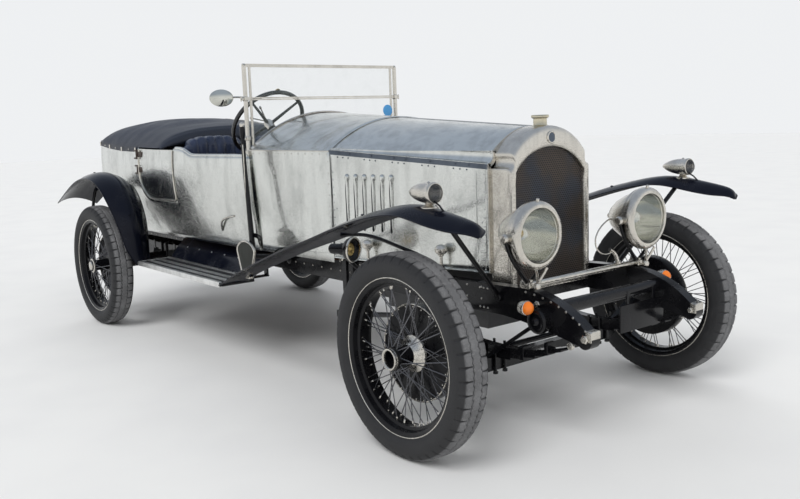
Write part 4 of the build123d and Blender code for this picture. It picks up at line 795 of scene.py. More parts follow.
def coaming(ahead):
    """Height of the tub's top edge at each station."""
    line = np.asarray(coaming_rows, float)
    return np.interp(ahead, line[:, 0], line[:, 1])


def tub_half(ahead, z):
    """Half width of the tub: a parabola in height through the bottom, belly and top of the station's row."""
    ahead, z = np.broadcast_arrays(np.asarray(ahead, float), np.asarray(z, float))
    low, belly, top = fair(tub_rows, ahead.ravel()).T.reshape(3, *ahead.shape)
    a, b, c = body_low, 900.0, 1220.0
    return (low * (z - b) * (z - c) / ((a - b) * (a - c)) + belly * (z - a) * (z - c) / ((b - a) * (b - c))
            + top * (z - a) * (z - b) / ((c - a) * (c - b)))


def on_side(ahead, z, side, out=0.0):
    """Points on the tub's side at places in side view."""
    return np.stack([ahead, side * (tub_half(ahead, z) + out), z + 0 * ahead], -1)


def door_edge(cut, gap, down, across):
    """U-shaped outline of a door from its rear top corner down and round to its front top corner."""
    rear, front, low, rear_round, front_round = np.array(cut) + gap * np.array([1, -1, 1, -1, -1])
    quarter = np.linspace(0, np.pi / 2, 14)
    rear_arc = np.column_stack([rear + rear_round * (1 - np.cos(quarter)),
                                low + rear_round * (1 - np.sin(quarter))])
    front_arc = np.column_stack([front - front_round * (1 - np.sin(quarter)),
                                 low + front_round * (1 - np.cos(quarter))])
    left = np.vstack([[rear, coaming(rear)], rear_arc[:8]])
    base = np.vstack([rear_arc[7:], front_arc[:7]])
    right = np.vstack([front_arc[6:], [front, coaming(front)]])
    left, base, right = [at_lengths(line, np.linspace(0, run_along(line)[-1], count))
                         for line, count in ((left, down), (base, across), (right, down))]
    return np.concatenate([left, base[1:-1], right])


def tub_side(side, cuts):
    """One side of the tub as an open sheet: plain stretches of grid, and a U-shaped grid round each door."""
    down, across, parts = 26, 30, []

    def stretch(start, end, count):
        ahead = np.linspace(start, end, count)[:, None]
        z = body_low + (coaming(ahead) - body_low) * np.linspace(1, 0, down)[None, :]
        grid = on_side(ahead + 0 * z, z, side)
        parts.append(sheet_of(grid))

    at = tail_ahead + tail_corner
    for cut in cuts:
        start, end = cut[0] - 60.0, cut[1] + 60.0
        stretch(at, start, 40 if at < 0 else 12)
        inner = door_edge(cut, 0.0, down, across)
        fall, run = np.linspace(1, 0, down), np.linspace(start, end, across)
        rear = np.column_stack([np.full(down, start), body_low + (coaming(start) - body_low) * fall])
        front = np.column_stack([np.full(down, end), body_low + (coaming(end) - body_low) * fall[::-1]])
        outer = np.concatenate([rear, np.column_stack([run, np.full(across, body_low)])[1:-1], front])
        share = np.linspace(0, 1, 12)[:, None, None]
        flat = outer[None] * (1 - share) + inner[None] * share
        top = np.zeros(flat.shape[:2], bool)
        top[:, [0, -1]] = True
        flat[..., 1] = np.where(top, coaming(flat[..., 0]), flat[..., 1])
        grid = on_side(flat[..., 0], flat[..., 1], side)
        parts.append(sheet_of(grid))
        at = end
    stretch(at, screen_ahead, 60)
    return gather(*parts)


def tub_tail():
    """The tail as an open sheet: a quarter-round corner on each side and a nearly flat back between them."""
    quarter = np.linspace(0, np.pi / 2, 15)
    z = np.linspace(1, 0, 26)[None, :]
    start = tail_ahead + tail_corner
    ahead = start - tail_corner * np.sin(quarter)
    inset = tail_corner * (1 - np.cos(quarter))
    flat = np.linspace(1, 0, 16)[1:]
    ahead = np.concatenate([ahead, np.full(15, tail_ahead)])[:, None]
    z = body_low + (coaming(ahead) - body_low) * z
    edge = tub_half(np.full_like(z, start), z)
    y = np.concatenate([edge[:15] - inset[:, None], (edge[15:] - tail_corner) * flat[:, None]])
    half = np.stack([ahead + 0 * z, y, z], -1)
    grid = np.concatenate([half, half[-2::-1] * (1, -1, 1)])
    return sheet_of(grid)


def corner_reach(radius, below):
    """How far a round corner reaches from its centre's upright, at depths below that centre."""
    return np.sqrt(np.maximum(radius**2 - np.maximum(below, 0) ** 2, 0))


def door_panel(cut, side, gap=8.0):
    """A door: rows across the tub's side between its edges at each height, with the wall's thickness."""
    rear, front, low, rear_round, front_round = np.array(cut) + gap * np.array([1, -1, 1, -1, -1])
    fall = np.concatenate([np.linspace(0, 0.6, 16)[:-1],
                           0.6 + 0.4 * np.sin(np.linspace(0, np.pi / 2, 22))])[:, None]
    share = np.linspace(0, 1, 44)[None, :]
    top = coaming(rear + (front - rear) * share) - gap
    z = top + (low - top) * fall
    left = rear + rear_round - corner_reach(rear_round, low + rear_round - z)
    right = front - front_round + corner_reach(front_round, low + front_round - z)
    grid = on_side(left + (right - left) * share, z, side)
    return wall(grid if side < 0 else grid[:, ::-1], 34.0)


def hinge(ahead, z, side, away, on_door):
    """Strap hinge: barrels on the pin's line and a strap along the panel, for the door or for the body."""
    y = tub_half(np.array([float(ahead)]), np.array([900.0]))[0] + 14.0
    reach = ahead + (60 if on_door else -60) * away
    low_x, high_x = sorted((ahead + (3 if on_door else -3) * away, reach))
    heights = [(z - 18, z + 18)] if on_door else [(z - 30.3, z - 18.3), (z + 18.3, z + 30.3)]
    parts = []
    for low, high in heights:
        body = [(0, 0), (0, 5.4), (0.8, 6.2), (high - low - 0.8, 6.2), (high - low, 5.4), (high - low, 0)]
        parts.append(turned(body, (ahead, side * y, low), upward, 16))
        near, far = sorted((side * (y - 30), side * (y - 4)))
        parts.append(brick((low_x, near, low + 1), (high_x, far, high - 1), 2.5))
    if not on_door:
        parts.append(turned(bar_profile(4, 60), (ahead, side * y, z - 30), upward, 12))
    return gather(*parts)


def face_outward(mesh):
    """Turns an open sheet's faces so that they look away from its middle."""
    work = bmesh.new()
    work.from_mesh(mesh)
    middle = Vector(np.mean([v.co for v in work.verts], axis=0).tolist())
    if sum((f.calc_center_median() - middle).dot(f.normal) * f.calc_area() for f in work.faces) < 0:
        bmesh.ops.reverse_faces(work, faces=work.faces)
        work.to_mesh(mesh)
    work.free()


def open_sheet(name, grid, lining, thickness, stands_for, body="car"):
    """A polished panel from an open sheet, thickened inward with its lining inside."""
    piece = place_all(name, grid, aluminium, stands_for, body=body)
    mesh = piece.data
    face_outward(mesh)
    mesh.materials.append(lining)
    thick = piece.modifiers.new("thickness", "SOLIDIFY")
    thick.thickness = thickness / 1000.0
    thick.offset = -1.0
    thick.use_quality_normals = True
    thick.material_offset = 1
    thick.material_offset_rim = 0


def make_body():
    """Tub with its lining and floor, three doors with beads and hinges, and the rolled cockpit edge."""
    sides = gather(tub_side(-1, [rear_door_cut]), tub_side(1, [rear_door_cut, front_door_cut]), tub_tail())
    open_sheet("tub_skin", sides, hide, 34.0, ["body_tub"])
    ahead = np.linspace(tail_ahead + 60, screen_ahead, 60)[:, None]
    share = np.linspace(-1, 1, 13)[None, :]
    floor_height = 640.0
    narrowing = 60.0 * (np.clip(-430 - ahead, 0, 150) / 150) ** 2
    half = tub_half(ahead, np.full_like(ahead, floor_height)) - 37.0 - narrowing
    floor = np.stack(np.broadcast_arrays(ahead, half * share, floor_height), -1)
    place_all("tub_floor", wall(floor, 34.0), floor_wood)
    # Columns: node, cut, side, the hinges' pin, the way their straps run, the hinges' heights
    doors = [("door_rear_right", rear_door_cut, -1, 226, 1, (1020, 1118)),
             ("door_rear_left", rear_door_cut, 1, 226, 1, (1020, 1118)),
             ("door_front_left", front_door_cut, 1, 1476, -1, (850, 1070))]
    fixed = []
    for node, cut, side, pin, away, heights in doors:
        edge = door_edge(cut, 9.0, 26, 30)
        bead = tube(on_side(edge[:, 0], edge[:, 1], side, 2.4)[1:-1], 4.6, 8)
        hinges = [hinge(pin, z, side, away, True) for z in heights]
        place_all(f"{node}_panel", door_panel(cut, side), aluminium, [node], body=node)
        place_all(f"{node}_trim", bead, nickel, body=node)
        place_all(f"{node}_hinges", gather(*hinges), hinge_steel, body=node)
        fixed += [hinge(pin, z, side, away, False) for z in heights]
    place_all("door_hinge_ears", gather(*fixed), hinge_steel)
    arc = through([(1240, 690), (1282, 742), (1335, 768), (1405, 782)], 30)
    grip = on_side(arc[:, 0], arc[:, 1], -1, 1.0 + 16.0 * np.sin(np.linspace(0, np.pi, 30)))
    place_all("side_handle", tube(grip, 6.0, 12), nickel)
    run = np.linspace(790, screen_ahead - 4, 90)
    roll = []
    for side in (1, -1):
        stretches = [run] if side < 0 else [run[run < 934], run[run > 1486]]
        for stretch in stretches:
            edge = on_side(stretch, coaming(stretch), side, -9.0)
            roll.append(tube(edge + (0, 0, 2), 10.0, 12))
    place_all("cockpit_roll", gather(*roll), aluminium)


# Scuttle, bonnet and radiator

def arch(half, shoulder, crown, count):
    """Points from one shoulder over the crown to the other on the circle through all three."""
    rise = crown - shoulder
    radius = (half**2 + rise**2) / (2 * rise)
    turn = np.arcsin(half / radius) * np.linspace(-1, 1, count)
    return radius * np.sin(turn), crown - radius + radius * np.cos(turn)


def make_scuttle():
    """Scuttle: upright sides and an arched top, ruled from the screen to the bonnet, with a dark inside."""
    stations = []
    # Half width at the shoulder and at the foot, heights of the shoulder and of the crown
    rear, front = np.array([[510, 472, 1146, 1336], [440, 440, 1141, 1296]])
    for share in np.linspace(0, 1, 24):
        half, low, shoulder, crown = rear + (front - rear) * share
        y, z = arch(half, shoulder, crown, 41)
        side_z = np.linspace(body_low, z[0], 13)[:-1]
        side_y = -(low + (half - low) * (side_z - body_low) / (z[0] - body_low))
        y = np.concatenate([side_y, y, -side_y[::-1]])
        z = np.concatenate([side_z, z, side_z[::-1]])
        x = np.full(len(y), screen_ahead + 0.3 + (bonnet_rear - screen_ahead - 0.3) * share)
        stations.append(np.stack([x, y, z], -1))
    grid = np.array(stations)
    open_sheet("scuttle_skin", sheet_of(grid), chassis, 5.0, ["scuttle"])
    strip = gather(*[tube([(screen_ahead + 2, side * 510.5, 1146), (bonnet_rear, side * 440.5, 1141)], 3.5, 8)
                     for side in (1, -1)])
    dot = lathe([(-1, 0), (-1, 3.2), (0.8, 3.2), (1.9, 2), (2.2, 0)], 8)
    share = np.linspace(0.05, 0.97, 12)[:, None]
    rear_end, front_end = np.array([[screen_ahead, -509.5, 1130]]), np.array([[bonnet_rear, -440.5, 1126]])
    row = rear_end * (1 - share) + front_end * share
    front = np.column_stack([np.full(9, bonnet_rear - 14.0), np.full(9, -441.2), np.linspace(660, 1090, 9)])
    studs = stud(dot, np.concatenate([row, front]), -leftward)
    place_all("scuttle_strips", gather(strip, both(studs)), nickel)


def bonnet_stations(count):
    """Sizes along the bonnet from rear to front: station, half width, shoulder, crown, flute radius."""
    share = np.linspace(0, 1, count)
    rear = np.array([2260.0, 440.0, 1141.0, 1290.0, 5.0])
    front = np.array([3152.0, 262.0, 1108.0, 1230.0, 36.0])
    return rear + (front - rear) * share[:, None]


def fluted_section(half, shoulder, crown, flute, low, inner):
    """Half section: upright side, a hollow flute scooped from the shoulder, and the top to its inner edge.

    The flute is the arc, about a point just outside the shoulder, from straight below to where it meets
    the top, whose height is the parabola through the shoulder, a point over its middle, and the crown."""
    def top(y):
        a, b = 0.52 * half, half
        over_middle = 0.76 * (crown - shoulder) + shoulder
        return (crown * (y - a) * (y - b) / (a * b) + over_middle * y * (y - b) / (a * (a - b))
                + shoulder * y * (y - a) / (b * (b - a)))

    centre = np.array([half + 2.0, shoulder + 12.0])
    turn = np.radians(np.linspace(180, 100, 200))
    y, z = centre[0] + flute * np.cos(turn), centre[1] + flute * np.sin(turn)
    meet = turn[np.argmin(np.abs(z - top(np.minimum(y, half))) + 1000 * (y > half))]
    begin = np.arccos(-2.0 / flute)
    angle = -np.linspace(begin, 2 * np.pi - meet, 15)
    scoop = np.column_stack([centre[0] + flute * np.cos(angle), centre[1] + flute * np.sin(angle)])
    side_z = np.linspace(low, scoop[0, 1], 14)[:-1]
    side = np.column_stack([np.full(13, half), side_z])
    across = np.linspace(scoop[-1, 0], inner, 24)[1:]
    return np.concatenate([side, scoop, np.column_stack([across, top(across)])])


def make_bonnet():
    """Both bonnet halves: fluted sheets with louvres, a dark bar at each louvre's mouth painted as the shade
    in its opening, rivets and a strip under the flute.
    """
    stations = bonnet_stations(60)
    grid = np.array([
        np.insert(fluted_section(half, shoulder, crown, flute, 625.0, 7.6), 0, x, axis=1)
        for x, half, shoulder, crown, flute in stations])
    head = lathe([(-16, 0), (-15, 6), (-10, 11.5), (0, 14), (10, 12), (20, 9.5), (60, 9.5), (150, 7.5),
                  (225, 5.2), (240, 4), (244, 0)], 16)
    # Each mouth is a dark bar along a louvre's rear edge: painted shade in the opening under the louvre
    mouth = lathe([(16, 0), (20, 6), (60, 8.5), (150, 8.0), (222, 8.0), (240, 9.5), (250, 8.0), (258, 0)], 12)
    first_louvre, pitch, louvre_top = 2365, 54.3, 1018
    x = first_louvre + pitch * np.arange(6)
    y = np.interp(x, stations[:, 0], stations[:, 1])
    places = np.column_stack([x, y - 1.0, louvre_top + 0 * x])
    slots = stud(head, places, -upward)
    mouth_shade = stud(mouth, places + (-11.0, -2.4, 0.0), -upward)
    dot = lathe([(-1, 0), (-1, 3.4), (0.8, 3.4), (1.9, 2.2), (2.3, 0)], 8)
    # The strip runs along the side's top edge, with five groups of three dots and two above each group
    upper_edge = grid[:, 13]
    row_x = (2310 + 168 * np.arange(5)[:, None] + 34 * np.arange(3)[None, :]).ravel()
    top = np.stack([np.interp(row_x, upper_edge[:, 0], upper_edge[:, k]) for k in range(3)], -1)
    outward = np.array([0.196, 0.98, 0.0])
    marks = gather(stud(dot, top + (0, 0.8, -32), outward), stud(dot, top[::2] + (14, 2.6, -12), outward))
    upper = upper_edge + (0.0, 1.6, -2.0)
    band = wall(np.stack([upper, upper - (0.0, 0.0, 21.0)]), 2.0)
    dots = stud(dot, grid[[2, 57], 6] + (0, 0.4, 0), outward)
    seam_z = np.linspace(640, 1040, 12)
    for seam in (2274.0, 3098.0, 3136.0):
        half = np.interp(seam, stations[:, 0], stations[:, 1])
        dots = gather(dots, stud(dot, seam_z[:, None] * upward + (seam, half + 0.4, 0), outward))
    wire = 3096.0
    half = np.interp(wire, stations[:, 0], stations[:, 1])
    seams = tube([(wire, half + 0.4, 632), (wire, half + 0.4, 1058)], 2.0, 6)
    hem = tube(grid[:, 0] + (0, -1.5, 1.0), 3.4, 8)
    edge = grid[-1, :, 1:]
    ledge = wall(np.stack([np.insert(edge, 0, ahead, axis=1) for ahead in (radiator_rear, 3153.8)]), 15.0)
    place_all("radiator_ledge", both(ledge), nickel)
    for name, side in (("left", 1), ("right", -1)):
        body = f"bonnet_{name}"
        flip = (lambda shape: shape) if side > 0 else mirrored
        open_sheet(f"{body}_skin", flip(sheet_of(grid)), chassis, 4.0, [body], body)
        place_all(f"{body}_louvres", flip(slots), aluminium, body=body)
        # Dark bars at each louvre's mouth: painted shade in the openings
        place_all(f"{body}_louvre_mouth_shade", flip(mouth_shade), chassis, body=body)
        place_all(f"{body}_rivets", flip(gather(dots, seams, hem)), aluminium, body=body)
        place_all(f"{body}_strip", flip(gather(band, marks)), dark_steel, body=body)


def shell_outline(half, low, shoulder, crown, flute, count=150):
    """Closed outline of the radiator: over the top, round the flute, down one side and back on the other.

    Its points are evenly parted along each half."""
    y, z = arch(half, shoulder, crown, 61)
    y, z = y[30:], z[30:]
    if flute:
        centre = np.array([half + 2.0, shoulder + 12.0])
        keep = np.hypot(y - centre[0], z - centre[1]) > flute
        y, z = y[keep], z[keep]
        start = np.arctan2(z[-1] - centre[1], y[-1] - centre[0])
        angle = np.linspace(start, 2 * np.pi - np.arccos(-2.0 / flute), 13)
        scoop = centre + flute * np.column_stack([np.cos(angle), np.sin(angle)])
        y, z = np.concatenate([y, scoop[1:, 0]]), np.concatenate([z, scoop[1:, 1]])
    rise = np.linspace(z[-1], low, 20)[1:]
    y, z = np.concatenate([y, np.full(len(rise), y[-1])]), np.concatenate([z, rise])
    foot = np.linspace(y[-1], 0, 8)[1:]
    line = np.column_stack([np.concatenate([y, foot]), np.concatenate([z, np.full(7, low)])])
    points = at_lengths(line, np.linspace(0, 1, count) * run_along(line)[-1])
    return np.concatenate([points, points[-2:0:-1] * (-1, 1)])


def make_radiator():
    """Radiator shell with round front edges and fluted shoulders, its cap, blank badge and hinge rod."""
    outer = shell_outline(250, 545, 1085, 1232, 34)
    inner = shell_outline(212, 560, 1040, 1142, 0)
    # Columns: share of the way from the opening to the outside, distance behind the front
    depth = radiator_front - radiator_rear
    steps = [(0.0, depth), (0.0, 14), (0.03, 5), (0.12, 1), (0.3, 0), (0.7, 1), (0.88, 5), (0.97, 12),
             (1.0, 22), (1.0, depth), (0.0, depth)]
    rings = [np.insert(inner + (outer - inner) * share, 0, radiator_front - back, axis=1)
             for share, back in steps]
    shell = (np.concatenate(rings), grid_faces(len(rings), len(outer), True))
    neck = [(0, 0), (0, 41), (6, 39), (9, 31), (12, 29), (36, 29), (39, 35), (43, 38), (49, 38), (52, 36),
            (53, 0)]
    cap = turned(neck, (radiator_front - 62, 0, 1224), upward, 32)
    rod_line = tube([(bonnet_rear + 0.3, 0, 1287), (radiator_rear + 4, 0, 1227)], 6.8, 12, leftward)
    badge = [(-3, 0), (-3, 20), (2.5, 20), (3.2, 12), (3.2, 0)]
    badge_ring = [(-3, 19), (-3, 27), (2, 27), (4.5, 25), (4.5, 21), (2, 19), (-3, 19)]
    place_all("radiator_shell_skin", shell, nickel, ["radiator_shell"])
    ring = turned(badge_ring, (radiator_front, 0, 1182), forward, 40)
    place_all("radiator_cap", cap, brass_nickel)
    place_all("radiator_trim", gather(ring, rod_line), nickel)
    place_all("radiator_badge", turned(badge, (radiator_front, 0, 1182), forward, 32), badge_enamel)


# Lamps and fittings

lamp_middle = np.array([3507.0, 341.0, 822.0])


def make_headlamps():
    """Headlamps: a turned bowl, silvered inside, with a rim, a bulb, a domed glass, knobs and a rear nut."""
    bowl = [(-196, 0), (-195, 14), (-188, 27), (-170, 50), (-140, 75), (-105, 95), (-75, 108), (-58, 114),
            (-50, 116), (-48, 123), (-45, 126), (-30, 127), (-29, 131), (-24, 133.5), (-10, 133.5),
            (-2, 131), (4, 126), (8, 119), (10, 112), (9, 107), (5, 105), (-2, 105.5), (-4, 104)]
    mirror_bowl = [(-2, 106), (-4, 104), (-30, 102), (-60, 95), (-90, 81), (-120, 59), (-140, 38), (-150, 20),
                   (-153, 0)]
    bulb = [(-153, 0), (-153, 13), (-128, 13), (-124, 9), (-118, 15), (-106, 19), (-94, 16), (-88, 8),
            (-86, 0)]
    lens = [(-1, 0), (-1, 105.5), (3, 106), (5, 100), (8, 84), (10, 60), (11, 30), (11, 0)]
    knob = lathe([(0, 0), (0, 9), (4, 12), (12, 12), (16, 8), (18, 0)], 16)
    knobs = [stud(knob, lamp_middle + (-40, side * 117, 0), side * leftward) for side in (1.0, -1.0)]
    peak = [(-6, 0), (-6, 6), (10, 6), (12, 4), (12, 0)]
    rear_nut = [(0, 0), (0, 12), (8, 14), (16, 12), (22, 6), (26, 0)]
    case = gather(turned(bowl, lamp_middle, forward, 72),
                  turned(peak, lamp_middle + (-6, 0, 131), (0.3, 0, 1), 12),
                  turned(rear_nut, lamp_middle + (-190, 0, 0), -forward, 16), *knobs)
    place_all("headlamp_cases", both(case), nickel, ["headlamps"])
    place_all("headlamp_mirrors", both(turned(mirror_bowl, lamp_middle, forward, 72)), silver_mirror)
    place_all("headlamp_bulbs", both(turned(bulb, lamp_middle, forward, 20)), brass)
    place_all("headlamp_lenses", both(turned(lens, lamp_middle, forward, 72)), lamp_lens,
              ["headlamp_glasses"])


def make_side_lamps():
    """Torpedo side lamps on flanged feet, orange domes on nickel cases, and the horn."""
    body = [(-110, 0), (-108, 5), (-100, 11), (-88, 18), (-72, 25), (-50, 31.5), (-24, 36), (0, 37.5),
            (20, 37.5), (24, 39.5), (31, 39.5), (35, 37.5), (36, 34), (30, 32), (20, 24), (8, 0)]
    middle = np.array([3385.0, 778.0, 1014.0])
    foot = [(-72, 0), (-72, 16), (-60, 20), (-55, 32), (-50, 32), (-46, 20), (-38, 14), (-30, 17), (-30, 0)]
    jewel = [(0, 0), (0, 7), (5, 6), (8, 3), (9, 0)]
    torpedo = gather(turned(body, middle, forward, 40), turned(foot, middle, upward, 24),
                     turned(jewel, middle + (0, 0, 33), upward, 16))
    glass = [(24, 0), (28, 34), (35, 33), (44, 28), (52, 18), (56, 8), (57, 0)]
    marker = np.array([3522.0, 435.0, 560.0])
    case = [(-34, 0), (-34, 8), (-30, 16), (-22, 24), (-8, 27), (2, 28), (6, 28), (8, 26), (6, 24), (4, 0)]
    smooth = [(9, 25), (12, 24.6), (15, 24), (18, 22.6), (21, 20.8), (24, 18.4), (27, 15.2), (30, 11.2),
              (32, 7)]
    ribbed = [(along, radius + 0.9 * (i % 2)) for i, (along, radius) in enumerate(smooth)]
    dome = [(4, 0), (4, 25)] + ribbed + [(34, 0)]
    stalk = tube(through([(3512, 356, 560), (3511, 385, 560), (3511, 412, 560)], 8), 7, 10)
    nut = turned([(0, 0), (0, 14), (8, 14), (10, 11), (14, 11), (14, 0)], (3512, 355.3, 560), leftward, 6)
    fixings = gather(torpedo, turned(case, marker, forward, 32), stalk, nut)
    snout = [(-120, 0), (-119, 16), (-113, 22), (-104, 24), (-60, 24), (-56, 28), (-40, 28), (-30, 38),
             (-18, 50), (-4, 57), (4, 59), (8, 57), (6, 51), (-8, 42), (-14, 28), (-14, 0)]
    mouth = [(4, 50), (4, 57.5), (9, 59), (14, 57), (15, 53), (12, 50), (4, 50)]
    funnel = [(-13.5, 30), (-10, 31), (-6, 27), (-8, 14), (-3, 8), (0, 0)]
    horn, inward = (2602.0, -575.0, 712.0), (0.94, 0.34, 0.0)
    stays = [tube([(3412, y, 986), (3440, y, 972), (3468, y, 948)], 3.4, 8) for y in (778, -778)]
    arm = through([(2552, -369, 560), (2552, -470, 590), (2552, -555, 660), (2552, -574, 704)], 20)
    flange = turned([(0, 0), (0, 18), (10, 18), (13, 14), (14, 0)], (2552, -355.3, 560), -leftward, 24)
    place_all("lamp_fixings", both(fixings), nickel, ["lamps_and_horn"])
    # The lenses carry the dark tint painted as the shade inside the lamps
    place_all("side_lamp_lenses", both(turned(glass, middle, forward, 32)), shaded_side_glass)
    place_all("marker_domes", both(turned(dome, marker, forward, 40)), orange_glass)
    place_all("horn_body", gather(turned(snout, horn, inward, 32), tube(arm, 9, 12), flange, *stays), chassis)
    place_all("horn_mouth", turned(mouth, horn, inward, 40), nickel)
    place_all("horn_funnel", turned(funnel, horn, inward, 40), brass)


def make_lamp_bar():
    """Polished tube across the dumb irons: feet, nuts, a yoke and a bright V for each lamp, and a wire."""
    bar_ahead, bar_z, bar_end = 3446, 624, 351
    bright = [tube([(bar_ahead, y, bar_z) for y in (-bar_end, 0, bar_end)], 13, 24)]
    dark = []
    nut = lathe([(0, 0), (0, 9), (7, 9), (9, 6), (9, 0)], 6)
    for side in (1, -1):
        y = side * lamp_middle[1]
        bright.append(brick((3416, y - 16, 610.3), (3470, y + 16, 640), 5))
        bright.append(stud(nut, [(3424, y, 639), (3462, y, 639)], upward))
        for lean in (1, -1):
            yoke, vee = [[(ahead, y + lean * aside, z) for ahead, aside, z in path] for path in (
                ((3450, 8, 634), (3458, 46, 672), (3466, 112, 752), (3467, 144, 826)),
                ((3496, 0, 634), (3508, 14, 664), (3520, 30, 697)))]
            dark.append(tube(through(yoke, 34), 8, 12))
            bright.append(turned([(-17, 0), (-17, 15), (-5, 19), (8, 19), (15, 15), (17, 0)],
                                 (3467, y + lean * 142, 822), lean * leftward, 24))
            bright.append(tube(through(vee, 10), 5.5, 10))
        bright.append(turned([(0, 0), (0, 13), (10, 15), (20, 11), (24, 0)], (3496, y, 616), upward, 24))
        bright.append(brick((3450, y - 9, 614), (3500, y + 9, 624), 3))
    loop = through([(3322, 341, 792), (3350, 290, 812), (3392, 200, 812), (3416, 130, 790), (3422, 96, 742),
                    (3426, 112, 700), (3432, 150, 682), (3436, 184, 686)], 60)
    elbow = through([(3439, 222, 640), (3438, 214, 664), (3436, 200, 684), (3434, 176, 700)], 24)
    bright += [tube(loop, 3.2, 8), tube(elbow, 9, 14),
               turned(bar_profile(14, 12), (3439, 224, 632), (0, -0.3, 1.0), 20)]
    place_all("lamp_bar_tube", gather(*bright), nickel, ["lamp_bar"])
    place_all("lamp_yokes", gather(*dark), chassis)


def make_boards():
    """Running boards: mats with bright strips, brackets, and a valance above."""
    rear, front, top = 470.0, 1585.0, 455.0
    mat = brick((rear, 520, 433), (front, 734, top), 3)
    bright = [brick((rear + 10, y - 9, top - 1), (front - 22, y + 9, top + 8), 3) for y in (534, 612, 672)]
    bright += [brick((rear, 716, 431), (front, 735, top + 5), 3),
               brick((rear - 1, 522, 431), (rear + 8, 735, top + 3), 2)]
    iron = []
    rivet = lathe([(-1, 0), (-1, 5), (1, 5), (3, 3), (3.6, 0)], 8)
    for x in (620.0, 1030.0, 1435.0):
        iron += [brick((x - 18, 352, 424), (x + 18, 705, 433), 2),
                 brick((x - 18, 355.3, 424), (x + 18, 366, 560), 2)]
        iron.append(stud(rivet, [(x, 366, 470), (x, 366, 530)], leftward))
    ahead = np.linspace(rear + 14, front - 4, 40)[:, None]
    share = np.linspace(0, 1, 9)[None, :]
    # The valance falls from the rail to the board in a hollow curve
    valance = np.stack(np.broadcast_arrays(ahead, 366 + 152 * share, 594 - 139 * share**1.6), -1)
    dots = stud(rivet, valance[3::6, 2] + (0, 1, 1), (0.0, 0.7, 0.7))
    bright.append(stud(rivet, valance[5::6, 5] + (0, 1, 1), (0.0, 0.6, 0.8)))
    place_all("board_mats", both(mat), board_mat, ["running_boards"])
    place_all("board_strips", both(gather(*bright)), strip_metal)
    place_all("board_brackets", both(gather(*iron, dots)), chassis)
    place_all("board_valances", both(wall(valance, 2.0)), wing_enamel)


def make_step_frame():
    """Arched frame of bright bar on the right running board, closed by a dark plate."""
    turn = np.linspace(np.pi, 0, 21)
    bow = np.column_stack([1676 + 92 * np.cos(turn), 618 + 55 * np.sin(turn)])
    line = np.vstack([[1636, 482], [1622, 505], bow, [1730, 520], [1716, 500]])
    arched = tube(np.insert(line, 1, -609.0, axis=1), 7.0, 10, leftward)
    foot = brick((1630, -622, 478), (1722, -598, 492), 3)
    place_all("step_frame", gather(arched, foot), nickel)
    place_all("step_frame_plate", upended(slab(line, -611.5, -606.5, 1.0)), olive_plate)


def make_screen():
    """Screen: posts with feet, caps and wing nuts, thin bars round both panes, and an oval mirror."""
    x, half, top, split, hinge_z, low = 1580.0, 505.0, 1603.0, 1418.0, 1210.0, 1115.3
    parts = [brick((x - 6, -half, top - 19), (x + 6, half, top - 2), 4)]
    parts += [brick((x - 5, -half, z), (x + 5, half, z + 7), 2.5) for z in (split - 8, split + 1)]
    nut = [(0, 0), (0, 8), (6, 9), (10, 6), (16, 6), (18, 0)]
    wing = brick((-3, -14, 9), (3, 14, 16), 2)
    for side in (1, -1):
        y = side * half
        parts.append(brick((x - 12, y - 9, low), (x + 12, y + 9, top - 6), 6))
        parts.append(turned([(0, 0), (0, 9), (4, 11), (8, 8), (10, 0)], (x, y, top - 10), upward, 20))
        parts.append(brick((x - 5, y - side * 32 - 7, 1168), (x + 5, y - side * 32 + 7, top - 4), 4))
        parts += [brick((x - 14, y - 12, z - 13), (x + 14, y + 12, z + 13), 4) for z in (split, hinge_z)]
        parts.append(brick((x - 22, y - 13, low), (x + 14, y + 9, low + 30), 4))
        parts += [turned(nut, (x, y + side * 11, z), side * leftward, 16) for z in (split, hinge_z)]
        points, faces = upended(wing)
        parts.append((points * (1, side, 1) + (x, y + side * 14, split), faces))
    y, z = arch(496, 1150, 1341, 61)
    parts.append(tube(np.column_stack([np.full(61, x), y, z]), 5.0, 10, forward))
    mirror_z = 1425
    arm = through([(x, -half - 8, mirror_z), (x - 12, -half - 50, 1428), (x - 30, -half - 104, mirror_z)], 16)
    back = lathe([(-9, 0), (-9, 50), (-7, 55), (-2, 56), (3, 52), (9, 42), (15, 24), (18, 0)], 48)
    shell = stud((back[0] * (1, 1.12, 0.8), back[1]), (x - 36, -half - 122, mirror_z), (1.0, -0.35, 0.0))
    ball = turned([(0, 0), (2, 7), (8, 9), (14, 6), (16, 0)], (x - 26, -half - 108, mirror_z),
                  (-0.5, -0.8, 0), 16)
    disc = turned([(0, 0), (0, 34), (2, 34), (2.5, 32), (2.5, 0)], (x + 3.2, 443, 1338), forward, 32)
    place_all("screen_frame", gather(*parts, tube(arm, 5, 10), ball), nickel, ["windscreen_frame"])
    place_all("mirror_shell", shell, silver_mirror)
    place_all("screen_disc", disc, blue_enamel)


